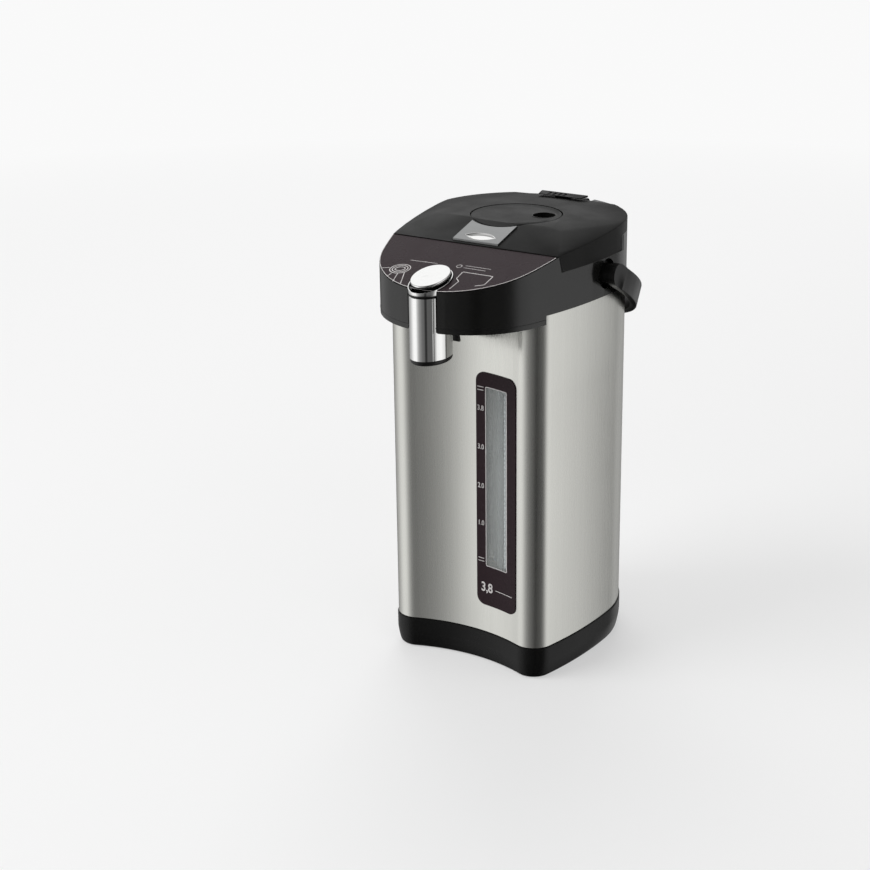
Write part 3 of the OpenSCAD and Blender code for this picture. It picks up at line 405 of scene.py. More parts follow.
# turns a finished bmesh in millimetres into a piece on a body
def madePiece(bm, name, body, slot, look=None, stands=(), thickness=0, bevel=0, segments=2, sharp=35,
              outward=True):
    bmesh.ops.remove_doubles(bm, verts=bm.verts[:], dist=0.002)
    if outward:
        bmesh.ops.recalc_face_normals(bm, faces=bm.faces[:])
    bmesh.ops.scale(bm, vec=(0.001, 0.001, 0.001), verts=bm.verts[:])
    mesh = bpy.data.meshes.new(name)
    bm.to_mesh(mesh)
    bm.free()
    return placedPiece(mesh, name, body, slot, look, stands, thickness, bevel, segments, sharp)


def placedPiece(mesh, name, body, slot, look, stands, thickness, bevel, segments, sharp):
    piece = bpy.data.objects.new(name, mesh)
    bpy.context.scene.collection.objects.link(piece)
    mesh.materials.clear()
    mesh.materials.append(look or looks[slot])
    mesh.shade_smooth()
    if thickness:
        wall = piece.modifiers.new("wall", "SOLIDIFY")
        wall.thickness = thickness * 0.001
        wall.offset = -1
        wall.use_even_offset = True
    if bevel:
        edge = piece.modifiers.new("edge", "BEVEL")
        edge.width = bevel * 0.001
        edge.segments = segments
        edge.limit_method = "ANGLE"
        edge.angle_limit = radians(sharp)
        edge.use_clamp_overlap = False
        edge.harden_normals = True
    else:
        mesh.set_sharp_from_angle(angle=radians(sharp))
    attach(piece, body)
    if stands:
        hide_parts(*stands)
    return piece


weld = {"near": 0.000002, "flat": 1}  # metres and degrees


# a welded, smoothly shaded copy of a CAD node whose shape is right
def smoothCopy(node, name, look=None, bevel=0, sharp=32):
    bm = bmesh.new()
    bm.from_mesh(nodes[node].data)
    bmesh.ops.remove_doubles(bm, verts=bm.verts[:], dist=weld["near"])
    bmesh.ops.dissolve_limit(bm, angle_limit=radians(weld["flat"]), verts=bm.verts[:], edges=bm.edges[:])
    mesh = bpy.data.meshes.new(name)
    bm.to_mesh(mesh)
    bm.free()
    return placedPiece(mesh, name, bodyOf[node], slotOf[node], look, (node,), 0, bevel, 2, sharp)


handle = {"pivot": (17, 335), "drop": 29, "eye": 11, "round": 0.7, "corner": 32, "slack": 0.6}


def carryHandle():
    # only the bail's own edges are rounded: the short ones at the eyes would throw a bevel out
    piece = smoothCopy("carry_handle", "carryHandle", bevel=handle["round"])
    drop, (y, z) = radians(handle["drop"]), handle["pivot"]
    along = Vector((0, cos(drop), -sin(drop)))
    start = (Vector((0, y, z)) + along * handle["eye"]) * 0.001
    bm = bmesh.new()
    bm.from_mesh(piece.data)
    scored(bm, start, along)
    weight = bm.edges.layers.float.new("bevel_weight_edge")
    for e in bm.edges:
        if e.calc_face_angle(0) > radians(handle["corner"]):
            onBail = min((v.co - start).dot(along) for v in e.verts) > -handle["slack"] * 0.001
            e[weight] = 1 if onBail else 0
            e.smooth = onBail
    bm.to_mesh(piece.data)
    bm.free()
    piece.modifiers["edge"].limit_method = "WEIGHT"


print("stage: outlines")

# casing and base

casing = {"inset": 0.8, "sheet": 1.0, "window": (16.2, 39.5, 90.0, 248.7), "rim": 0.5, "lip": 0.6,
          "lowIn": 0.5, "topIn": 0.3, "seamWidth": 8, "seamThick": 1.6, "seamIn": 1.1, "seamRound": 0.35}


def steelBody():
    bm = bmesh.new()
    inset, lip = casing["inset"], casing["lip"]
    lofted(bm, bodyPlan, [(pot["baseHeight"], inset + casing["lowIn"]), (pot["baseHeight"] + lip, inset),
                          (pot["steelTop"] - lip, inset), (pot["steelTop"], inset + casing["topIn"])])
    x0, x1, z0, z1 = casing["window"]
    # the cuts outside the window keep the rim's shading off the sheet
    rim = casing["rim"]
    for x in (x0 - rim, x0, x1, x1 + rim):
        scored(bm, (x, 0, 0), (1, 0, 0))
    for z in (z0 - rim, z0, z1, z1 + rim):
        scored(bm, (0, 0, z), (0, 0, 1))
    removed(bm, lambda c: x0 < c.x < x1 and z0 < c.z < z1 and c.y < 0)
    madePiece(bm, "steelBody", "housing", "brushed_steel", stands=("steel_shell",), thickness=casing["sheet"])


def steelSeam():
    # the folded lock seam down the rear
    bm = bmesh.new()
    bmesh.ops.create_cube(bm, size=1)
    tall = pot["steelTop"] - pot["baseHeight"]
    bmesh.ops.scale(bm, vec=(casing["seamWidth"], casing["seamThick"], tall), verts=bm.verts[:])
    rear = pot["axisY"] + pot["halfWidth"] - casing["seamIn"]
    bmesh.ops.translate(bm, vec=(0, rear, pot["baseHeight"] + tall / 2), verts=bm.verts[:])
    madePiece(bm, "steelSeam", "housing", "brushed_steel", bevel=casing["seamRound"])


base = {"curve": [(1.0, 3.9), (1.15, 3.5), (1.5, 3.05), (2.1, 2.6), (3.0, 2.2), (4.4, 1.8), (7, 1.25),
                  (10, 0.7), (12.5, 0.3), (15, 0.05), (16, 0)],
        "wall": 3.4, "ledge": 8.5, "deep": 9.0, "inletX": 17.3, "inletZ": (6.7, 27.3)}


def baseSkirt():
    bm = bmesh.new()
    top = pot["baseHeight"]
    levels = base["curve"] + [(top - 0.5, 0), (top, 0.4), (top, base["wall"]), (base["ledge"], base["wall"]),
                              (base["ledge"], base["deep"]), (1.0, base["deep"])]
    lofted(bm, bodyPlan, levels, closed=True)
    x, (z0, z1) = base["inletX"], base["inletZ"]
    for side in (-x, x):
        scored(bm, (side, 0, 0), (1, 0, 0))
    for z in (z0, z1):
        scored(bm, (0, 0, z), (0, 0, 1))
    removed(bm, lambda c: -x < c.x < x and z0 < c.z < z1 and c.y > 60)
    rim = [e for e in bm.edges if e.is_boundary]
    bmesh.ops.bridge_loops(bm, edges=rim)
    madePiece(bm, "baseSkirt", "housing", "gloss_black", look=baseLook, stands=("base_skirt",), sharp=40)


steelBody()
steelSeam()
baseSkirt()
print("stage: casing and base")

# control panel

film = {"inset": 0.8, "thick": 1.0, "gap": 0.3, "spoutGap": 0.7}


def controlPanel():
    # the outline runs round the back of the spout's oval, which reaches past the nose
    bm = bmesh.new()
    (x, y, radius, start, end, steps), *sides = headPlan(film["inset"])
    half, reach = spout["halfWidth"] + film["spoutGap"], spout["length"] / 2 + film["spoutGap"]
    across = half
    for _ in range(20):
        crossY = y - sqrt(radius ** 2 - across ** 2)
        across = half * sqrt(1 - ((crossY - spoutMidY) / reach) ** 2)
    turn, dip = degrees(asin(across / radius)), degrees(asin((spoutMidY - crossY) / reach))
    traced(bm, [(x, y, radius, turn - 90, end, steps // 2), *sides,
                (x, y, radius, start, -90 - turn, steps // 2)])
    traced(bm, [(0, spoutMidY, half, 180 + dip, -dip, 96, reach / half)])
    bmesh.ops.remove_doubles(bm, verts=bm.verts[:], dist=0.01)
    bmesh.ops.contextual_create(bm, geom=bm.edges[:])
    scored(bm, (0, pot["chordY"] - film["gap"], 0), (0, 1, 0), clear=True)
    bmesh.ops.delete(bm, geom=bm.faces[:], context="FACES_ONLY")
    filled(bm, bm.edges[:])
    for v in bm.verts:
        v.co.z = panelZ(v.co.y)
    for f in bm.faces:
        f.normal_update()
        if f.normal.z < 0:
            f.normal_flip()
    madePiece(bm, "controlPanel", "housing", "panel_film", stands=("control_panel",), thickness=film["thick"],
              bevel=0.22, outward=False)


# printed lines: soft-cornered splines swept to a fine bead, then laid on a surface
def printedLines(name, paths, width, lay, body="housing"):
    curve = bpy.data.curves.new(name, "CURVE")
    curve.dimensions = "3D"
    curve.bevel_depth = width / 2
    curve.bevel_resolution = 1
    curve.use_fill_caps = True
    for points, cyclic in paths:
        spline = curve.splines.new("NURBS")
        spline.points.add(len(points) - 1)
        for spot, (x, y) in zip(spline.points, points):
            spot.co = (x, y, 0, 1)
        spline.order_u = 3
        spline.use_cyclic_u = cyclic
        spline.use_endpoint_u = not cyclic
        spline.resolution_u = 6
    thing = bpy.data.objects.new(name + "Line", curve)
    bpy.context.scene.collection.objects.link(thing)
    bpy.context.view_layer.update()
    mesh = bpy.data.meshes.new_from_object(thing.evaluated_get(bpy.context.evaluated_depsgraph_get()))
    bpy.data.objects.remove(thing)
    return laid(mesh, name, body, lay, 0.3)


def printedText(name, words, lay, body="housing"):
    bm = bmesh.new()
    for text, x, y, size, bold in words:
        curve = bpy.data.curves.new(name, "FONT")
        curve.body = text
        curve.size = size
        curve.offset = bold
        curve.extrude = 0.12
        curve.align_x = "CENTER"
        curve.align_y = "CENTER"
        thing = bpy.data.objects.new(name + "Text", curve)
        bpy.context.scene.collection.objects.link(thing)
        thing.location = (x, y, 0)
        bpy.context.view_layer.update()
        mesh = bpy.data.meshes.new_from_object(thing.evaluated_get(bpy.context.evaluated_depsgraph_get()))
        mesh.transform(Matrix.Translation((x, y, 0)) @ Matrix.Diagonal((0.86, 1, 1, 1)))
        bm.from_mesh(mesh)
        bpy.data.objects.remove(thing)
    mesh = bpy.data.meshes.new(name)
    bm.to_mesh(mesh)
    bm.free()
    return laid(mesh, name, body, lay, 1)


# a fine round bead along a path in space, for seams, grooves and rims
def bead(name, path, width, body, slot, look, cyclic=False):
    curve = bpy.data.curves.new(name, "CURVE")
    curve.dimensions = "3D"
    curve.bevel_depth = width / 2
    curve.bevel_resolution = 2
    curve.use_fill_caps = not cyclic
    spline = curve.splines.new("POLY")
    spline.points.add(len(path) - 1)
    for spot, place in zip(spline.points, path):
        spot.co = (*place, 1)
    spline.use_cyclic_u = cyclic
    thing = bpy.data.objects.new(name + "Path", curve)
    bpy.context.scene.collection.objects.link(thing)
    bpy.context.view_layer.update()
    mesh = bpy.data.meshes.new_from_object(thing.evaluated_get(bpy.context.evaluated_depsgraph_get()))
    bpy.data.objects.remove(thing)
    bm = bmesh.new()
    bm.from_mesh(mesh)
    return madePiece(bm, name, body, slot, look=look, sharp=50)


def onCircle(x, y, radius, angle):
    return (x + radius * cos(radians(angle)), y + radius * sin(radians(angle)))


def sideFaceX(y, inset=0):
    return sideX + sqrt((pot["sideRadius"] - inset) ** 2 - (y - pot["axisY"]) ** 2)


# the head's outline from the left side round the nose to the right side, back to a y
def nosePath(inset, endY):
    radius = pot["sideRadius"] - inset
    last = degrees(asin((endY - pot["axisY"]) / radius))
    right = [onCircle(sideX, pot["axisY"], radius, -noseAngle + (last + noseAngle) * i / 12)
             for i in range(1, 13)]
    nose = [onCircle(0, pot["noseY"] + noseRadius, noseRadius - inset,
                     -180 + noseAngle + (180 - 2 * noseAngle) * i / 60) for i in range(61)]
    return [(-x, y) for x, y in reversed(right)] + nose + right


def laid(mesh, name, body, lay, flatten):
    bm = bmesh.new()
    bm.from_mesh(mesh)
    for v in bm.verts:
        v.co = lay(v.co.x, v.co.y, v.co.z * flatten)
    return madePiece(bm, name, body, "panel_film", look=inkAndPaintedHighlightLook, sharp=50)


def onPanel(x, y, lift):
    return Vector((x, y, panelZ(y) + lift))


def onGauge(x, z, lift):
    return Vector((x, frontFaceY(x) - lift, z))


# corners of a path, each doubled towards its neighbours so that a spline turns tightly there
def cornered(points, r=1.6, cyclic=False):
    spots = [Vector(p) for p in points]
    out = []
    for i, spot in enumerate(spots):
        if not cyclic and i in (0, len(spots) - 1):
            out.append(tuple(spot))
            continue
        back, ahead = spots[i - 1] - spot, spots[(i + 1) % len(spots)] - spot
        out += [tuple(spot + back.normalized() * min(r, back.length / 2)), tuple(spot),
                tuple(spot + ahead.normalized() * min(r, ahead.length / 2))]
    return out


def oval(x, y, halfX, halfY, turn=0):
    c, s = cos(radians(turn)), sin(radians(turn))
    spots = [(halfX * cos(radians(a)), halfY * sin(radians(a))) for a in range(0, 360, 30)]
    return [(x + c * px - s * py, y + s * px + c * py) for px, py in spots]


def bar(x0, y0, x1, y1):
    return [(x0, y0), ((x0 + x1) / 2, (y0 + y1) / 2), (x1, y1)]


panelPrint = {
    "lockKey": [(oval(-36.2, -100.2, 8.6, 7.4, 20), True), (oval(-36.2, -100.2, 6.5, 5.4, 20), True),
                (oval(-36.2, -100.2, 4.2, 3.0, 20), True)],
    "lockRays": [(bar(-52.5, -103.5, -45.8, -100.8), False), (bar(-30.2, -119.6, -33.6, -107.6), False),
                 (bar(-21.6, -121.8, -29.2, -104.6), False), (bar(-39.5, -113.2, -38.6, -108.6), False)],
    "topLine": [(bar(-36.0, -85.4, -11.2, -84.4), False)],
    "warmKey": [(cornered([(20.8, -117.6), (21.3, -105.2), (17.0, -101.6), (16.2, -91.0), (43.6, -91.0),
                           (43.9, -104.6), (37.6, -108.2)], 2.2), False)],
    "lamp": [(oval(8.3, -83.6, 2.2, 2.2), True)],
    "fineBars": [(bar(13.0, -81.4, 36.0, -81.4), False), (bar(13.0, -84.8, 33.0, -84.8), False)],
}
printWidth = {"lockKey": 0.75, "lockRays": 0.65, "topLine": 0.5, "warmKey": 0.75, "lamp": 0.5,
              "fineBars": 0.45}

controlPanel()
for part, paths in panelPrint.items():
    printedLines("panel_" + part, paths, printWidth[part], onPanel)
print("stage: control panel")

# level gauge

gauge = {"x": (7.0, 49.3), "z": (54.0, 260.5), "corner": 8.0, "window": (16.7, 39.0, 90.5, 248.2),
         "windowCorner": 2.4, "thick": 0.8, "round": 0.18, "frameWidth": 0.7, "ruleWidth": 0.6,
         "backY": -45.4, "backOver": (1.6, 2), "backThick": 1.2, "backRound": 0.3}


def gaugePanel():
    bm = bmesh.new()
    traced(bm, roundedPlan(*gauge["x"], *gauge["z"], gauge["corner"]))
    traced(bm, roundedPlan(*gauge["window"], gauge["windowCorner"]))
    filled(bm, bm.edges[:])
    for x in range(9, 49, 2):
        scored(bm, (x, 0, 0), (1, 0, 0))
    for v in bm.verts:
        v.co = onGauge(v.co.x, v.co.y, 0)
    for f in bm.faces:
        f.normal_update()
        if f.normal.y > 0:
            f.normal_flip()
    madePiece(bm, "gaugePanel", "housing", "panel_film", stands=("gauge_panel",), thickness=gauge["thick"],
              bevel=gauge["round"], outward=False)


def windowFrame():
    # the pale line printed round the window
    x0, x1, z0, z1 = gauge["window"]
    corners = cornered([(x0, z0), (x1, z0), (x1, z1), (x0, z1)], gauge["windowCorner"], True)
    printedLines("gaugeFrame", [(corners, True)], gauge["frameWidth"], onGauge)


def gaugeBack():
    # the grey carrier behind the tube
    bm = bmesh.new()
    x0, x1, z0, z1 = gauge["window"]
    bmesh.ops.create_cube(bm, size=1)
    overX, overZ = gauge["backOver"]
    bmesh.ops.scale(bm, vec=(x1 - x0 + overX, gauge["backThick"], z1 - z0 + overZ), verts=bm.verts[:])
    bmesh.ops.translate(bm, vec=((x0 + x1) / 2, gauge["backY"], (z0 + z1) / 2), verts=bm.verts[:])
    madePiece(bm, "gaugeBack", "housing", "white_plastic", look=gaugeBackLook, bevel=gauge["backRound"])


# the ladder of small ribs beside the tube, and the spine behind them
ladder = {"x": 36.2, "behind": 3.1, "width": 2.9, "height": 2.3, "deep": 1.4, "pitch": 4.0, "low": 4,
          "high": 3, "round": 0.2, "spineWidth": 4.1, "spineDeep": 0.8, "spineTall": 156, "spineBehind": 1.05}


def gaugeLadder():
    bm = bmesh.new()
    y = frontFaceY(ladder["x"]) + ladder["behind"]
    z = gauge["window"][2] + ladder["low"]
    while z < gauge["window"][3] - ladder["high"]:
        made = bmesh.ops.create_cube(bm, size=1)["verts"]
        bmesh.ops.scale(bm, vec=(ladder["width"], ladder["deep"], ladder["height"]), verts=made)
        bmesh.ops.translate(bm, vec=(ladder["x"], y, z), verts=made)
        z += ladder["pitch"]
    spine = bmesh.ops.create_cube(bm, size=1)["verts"]
    bmesh.ops.scale(bm, vec=(ladder["spineWidth"], ladder["spineDeep"], ladder["spineTall"]), verts=spine)
    middle = (ladder["x"], y + ladder["spineBehind"], sum(gauge["window"][2:]) / 2)
    bmesh.ops.translate(bm, vec=middle, verts=spine)
    madePiece(bm, "gaugeLadder", "housing", "clear_tube", look=ribLook, bevel=ladder["round"])


gaugeMarks = {"3.8": 229.2, "3.0": 195.6, "2.0": 161.4, "1.0": 128.2}
gaugeTicks = {"x": (8.6, 14.6), "z": (247.6, 244.9, 96.4, 93.7)}

gaugePanel()
windowFrame()
gaugeBack()
gaugeLadder()
printedText("gaugeNumerals", [(text, 11.6, z, 6.2, 0.01) for text, z in gaugeMarks.items()]
            + [("3,8", 17.4, 70.2, 11.6, 0.22)], lambda x, y, lift: onGauge(x, y, lift + 0.02))
printedLines("gaugeRules", [(bar(26.4, 70.0, 45.2, 70.0), False)]
             + [(bar(gaugeTicks["x"][0], z, gaugeTicks["x"][1], z), False) for z in gaugeTicks["z"]],
             gauge["ruleWidth"], onGauge)
print("stage: level gauge")

# spout


def spoutCover():
    bm = bmesh.new()
    low, top, lip, topLip = spout["low"] + spout["columnLift"], spout["top"], spout["lip"], spout["topLip"]
    lofted(bm, spoutPlan, [(low, lip), (low + lip, 0), (top - topLip, 0), (top, topLip)])
    scored(bm, (0, spout["seamY"], 0), (0, 1, 0), clear=True)
    madePiece(bm, "spoutCover", "housing", "chrome", stands=("spout_cover",), thickness=spout["wall"])


def spoutBack():
    bm = bmesh.new()
    low, top, lip = spout["low"] + spout["columnLift"], spout["top"], spout["lip"]
    lofted(bm, spoutPlan, [(low, 0.65), (low + lip, 0.3), (top - spout["topLip"], 0.3), (top, 0.7)])
    scored(bm, (0, spout["seamY"] + spout["seamGap"], 0), (0, -1, 0), clear=True)
    madePiece(bm, "spoutBack", "housing", "chrome", stands=("spout_back",), thickness=spout["wall"])


def spoutCollar():
    bm = bmesh.new()
    low, out = spout["top"] + spout["groove"], -spout["collarOut"]
    lofted(bm, spoutPlan, [(low, out + 0.6), (low + 0.12, out + 0.25), (low + 0.5, out), (low + 30, out)])
    scored(bm, (0, spoutMidY, spout["collarTop"]), (0, -sin(panelTilt), cos(panelTilt)), clear=True)
    madePiece(bm, "spoutCollar", "housing", "chrome", stands=("spout_collar",), thickness=spout["collarWall"],
              bevel=0.2)


def collarFloor():
    # the black tray inside the collar, with the plunger's way through it
    bm = bmesh.new()
    low = spout["top"] + spout["groove"]
    lofted(bm, spoutPlan, [(low + 0.1, 0.42), (low + 1.2, 0.42), (low + 1.2, 2.0), (low + 0.1, 2.0)],
           closed=True)
    madePiece(bm, "collarFloor", "housing", "satin_black")


def spoutGroove():
    # the black ring between the column and its collar
    bm = bmesh.new()
    low = spout["top"]
    lofted(bm, spoutPlan, [(low - 0.6, 2), (low - 0.6, 1.0), (low + 1.6, 1.0), (low + 1.6, 2)], closed=True)
    madePiece(bm, "spoutGroove", "housing", "satin_black")


nozzle = {"curve": [(4.4, 1.5), (4, 0.9), (3.4, 0.45), (2.2, 0.5), (1.2, 0.9), (0.5, 1.6), (0.1, 2.6),
                    (0, 3.6)],
          "mouth": 4.4, "bore": 4.0, "flare": 0.5, "deep": 18}


def spoutNozzle():
    bm = bmesh.new()
    low = spout["low"]
    loops = lofted(bm, spoutPlan, [(low + rise, inset) for rise, inset in nozzle["curve"]])
    mouth = traced(bm, roundPlan(0, spoutMidY, nozzle["mouth"]), low)
    filled(bm, loops[-1] + mouth)
    inner = traced(bm, roundPlan(0, spoutMidY, nozzle["bore"]), low + nozzle["flare"])
    deep = traced(bm, roundPlan(0, spoutMidY, nozzle["bore"]), low + nozzle["deep"])
    bmesh.ops.bridge_loops(bm, edges=mouth + inner)
    bmesh.ops.bridge_loops(bm, edges=inner + deep)
    madePiece(bm, "spoutNozzle", "housing", "satin_black", stands=("spout_nozzle",), sharp=60)


button = {"thick": 2.2, "edge": 0.9, "shorter": 2.6, "dimpleY": -6.0,
          "dimple": [(7.0, 0), (6.5, -0.06), (5.6, -0.28), (4.2, -0.6), (2.5, -0.84), (0.9, -0.93)]}


def dispenseButton():
    bm = bmesh.new()
    length = spout["length"] - button["shorter"]

    def plan(inset):
        return spoutPlan(inset + button["edge"], 0, length)

    t = button["thick"]
    loops = lofted(bm, plan, [(-t, 1.2), (-t, 0.3), (-t + 0.3, 0), (-0.8, 0), (-0.35, 0.12), (-0.1, 0.45),
                              (0, 1.0)])
    rings = [traced(bm, roundPlan(0, button["dimpleY"], r), z) for r, z in button["dimple"]]
    filled(bm, loops[-1] + rings[0])
    for outer, inner in zip(rings, rings[1:]):
        bmesh.ops.bridge_loops(bm, edges=outer + inner)
    bmesh.ops.contextual_create(bm, geom=rings[-1])
    bmesh.ops.contextual_create(bm, geom=loops[0])
    seat = Matrix.Translation((0, spoutMidY, spout["buttonTop"])) @ Matrix.Rotation(panelTilt, 4, "X")
    bmesh.ops.transform(bm, matrix=seat, verts=bm.verts[:])
    madePiece(bm, "dispenseButton", "dispense_button", "chrome", stands=("dispense_button",), sharp=50)


for make in (spoutCover, spoutBack, spoutCollar, collarFloor, spoutGroove, spoutNozzle, dispenseButton):
    make()
print("stage: spout")

# lid

latch = {"half": 21.2, "front": -46.5, "plateY": 18.8, "plateGap": 41.0, "lift": 1.4, "thick": 2.4,
         "lensY": -38.6, "lensHalf": 14.4, "lensRise": 5.4, "sunk": 0.05, "under": 1.3,
         "scoop": [(1.0, 0.0), (0.96, -0.5), (0.86, -1.1), (0.66, -1.6), (0.4, -1.85)]}  # size, height


def latchPlate():
    bm = bmesh.new()
    half, front, middle, radius = latch["half"], latch["front"], latch["plateY"], latch["plateGap"]
    sweep = degrees(atan2(half, sqrt(radius ** 2 - half ** 2)))
    traced(bm, [(0, middle, radius, 270 - sweep, 270 + sweep, 24), (half, front), (-half, front),
                (-half, middle - radius * cos(radians(sweep)))])
    traced(bm, lensPlan(0, latch["lensY"], latch["lensHalf"], latch["lensRise"]))
    filled(bm, bm.edges[:])
    made = bmesh.ops.extrude_face_region(bm, geom=bm.faces[:])["geom"]
    under = [g for g in made if isinstance(g, bmesh.types.BMVert)]
    bmesh.ops.translate(bm, vec=(0, 0, -latch["thick"]), verts=under)
    for v in bm.verts:
        v.co.z += facetZ(v.co.y) + latch["lift"]
    madePiece(bm, "latchPlate", "latch_lever", "latch_silver", bevel=0.3, sharp=40)


def latchScoop():
    # the bright hollow that fills the lens-shaped hole in the plate
    bm = bmesh.new()
    loops = []
    for scale, z in latch["scoop"]:
        lens = lensPlan(0, latch["lensY"], latch["lensHalf"] * scale, latch["lensRise"] * scale)
        loops.append(traced(bm, lens, z))
    for outer, inner in zip(loops, loops[1:]):
        bmesh.ops.bridge_loops(bm, edges=outer + inner)
    bmesh.ops.contextual_create(bm, geom=loops[-1])
    for v in bm.verts:
        v.co.z += facetZ(v.co.y) + latch["lift"] - latch["sunk"]
    for f in bm.faces:
        f.normal_update()
        if f.normal.z < 0:
            f.normal_flip()
    madePiece(bm, "latchScoop", "latch_lever", "chrome", thickness=0.5, outward=False, sharp=60)


def latchArms():
    # what the lever has below its plate: the arms, the pin and the hook
    bm = bmesh.new()
    bm.from_mesh(nodes["latch_lever"].data)
    bmesh.ops.scale(bm, vec=(1000, 1000, 1000), verts=bm.verts[:])
    tilt = atan(pot["facetSlope"])
    below = (0, pot["chordY"], facetZ(pot["chordY"]) - latch["under"])
    scored(bm, below, (0, -sin(tilt), cos(tilt)), clear=True)
    madePiece(bm, "latchArms", "latch_lever", "latch_silver", look=looks["satin_black"],
              stands=("latch_lever",))


edges = {"grooveZ": 313.6, "grooveWidth": 0.55, "paintedHighlightWidth": 0.5, "seamWidth": 0.5, "lean": 0.245,
         "seamFront": -44.3, "seamCorner": 4.5, "hole": (21.5, 27.2), "holeRadius": 9.9, "rimWidth": 0.7,
         "plateTop": 373.4}


def headEdges():
    # the groove along the beak's lower edge, and a pale ink line along the panel film's edge, which is a
    # painted highlight standing in for the light the rim catches
    bead("beakGroove", [(x, y, edges["grooveZ"]) for x, y in nosePath(0.1, pot["beakStepY"] - 1)],
         edges["grooveWidth"], "housing", "satin_black", looks["satin_black"])
    # a pale ink bead along the film's edge: a painted highlight
    bead("filmEdgePaintedHighlight", [(x, y, panelZ(y) - 0.1) for x, y in nosePath(0.55, pot["chordY"] - 1)],
         edges["paintedHighlightWidth"], "housing", "panel_film", inkAndPaintedHighlightLook)


def skirtSeams():
    # the dark joint under each side skirt of the lid, turning up at its front corner and its rear end
    low, r, front = pot["skirtZ"] + 0.15, edges["seamCorner"], edges["seamFront"] + 0.3
    corner = [(front + r * (1 - cos(radians(a))), low + r * (1 - sin(radians(a))))
              for a in range(0, 91, 15)]
    rise = [(front - edges["lean"] * (z - low) + 0.8, z) for z in (pot["creaseZ"] - 0.4, low + r + 1)]
    length = pot["skirtEndY"] - 0.15
    run = [(front + r + (length - front - r) * i / 24, low) for i in range(1, 25)]
    run.append((length, pot["creaseZ"]))
    for side, name in ((1, "skirtSeamRight"), (-1, "skirtSeamLeft")):
        bead(name, [(side * sideFaceX(y, 0.1), y, z) for y, z in rise + corner + run], edges["seamWidth"],
             "housing", "satin_black", looks["satin_black"])


def steamRim():
    x, y = edges["hole"]
    ring = [onCircle(x, y, edges["holeRadius"], a) + (edges["plateTop"],) for a in range(0, 360, 6)]
    bead("steamRim", ring, edges["rimWidth"], "pump_plate", "gloss_black", looks["gloss_black"], cyclic=True)


latchPlate()
latchScoop()
latchArms()
headEdges()
skirtSeams()
steamRim()
print("stage: lid")

# parts whose CAD shape is right

for node, name, bevel in (
        ("head_shell", "headShell", 0), ("beak_underside", "beakUnderside", 0),
        ("hinge_block", "hingeBlock", 0), ("lid_outer", "lidOuter", 0), ("pump_plate", "pumpPlate", 0),
        ("release_tab", "releaseTab", 0.35), ("cup_lever", "cupLever", 0.25),
        ("handle_pins", "handlePins", 0), ("button_plunger", "buttonPlunger", 0),
        ("power_inlet", "powerInlet", 0.3), ("bottom_plate", "bottomPlate", 0),
        ("rubber_feet", "rubberFeet", 0.4)):
    smoothCopy(node, name, bevel=bevel)
carryHandle()
smoothCopy("gauge_window", "gaugeWindow", look=windowLook)
smoothCopy("level_tube", "levelTube", look=tubeLook)
print("stage: welded copies")

# studio

studio = {
    # brightness of the surroundings by compass angle, from +X towards +Y
    "bands": [(-180, 0.55), (-165, 0.8), (-150, 1.0), (-126, 1.0), (-112, 0.55), (-98, 0.3), (-76, 0.15),
              (-63, 0.12), (-56, 0.03), (-48, 0.03), (-43, 0.1), (-20, 0.1), (-8, 0.2), (5, 0.9), (24, 1.0),
              (52, 0.6), (61, 0.3), (70, 0.3), (76, 0.55), (100, 0.4), (116, 0.05), (135, 0.06),
              (150, 0.35), (180, 0.55)],
    # and by height, from straight down to straight up
    "heights": [(-1, 0.1), (-0.8, 0.3), (-0.55, 0.95), (-0.3, 1.0), (0.35, 1.0), (0.6, 0.6), (1, 0.4)],
    # a soft box high behind, which the button, the latch plate and the lid's facet mirror
    "softBox": {"toward": (-0.52, 0.588, 0.62), "edges": (0.8, 0.93), "level": 1.0},
    "floor": (0.93, 0.93, 0.93),
    "pale": {"level": 0.95, "near": 0.5, "reach": (0.5, 2.4)},
    "key": {"place": (-1.1, -1.3, 1.9), "size": 1.3, "power": 24},
    "fill": {"place": (1.6, -0.9, 1.5), "size": 1.5, "power": 8},
    "back": {"place": (-0.9, 1.4, 1.9), "size": 1.3, "power": 16},
}


def rampNode(tree, stops, low, high):
    ramp = tree.nodes.new("ShaderNodeValToRGB")
    elements = ramp.color_ramp.elements
    while len(elements) < len(stops):
        elements.new(0.5)
    for element, (at, value) in zip(elements, stops):
        element.position = (at - low) / (high - low)
        element.color = (value, value, value, 1)
    return ramp


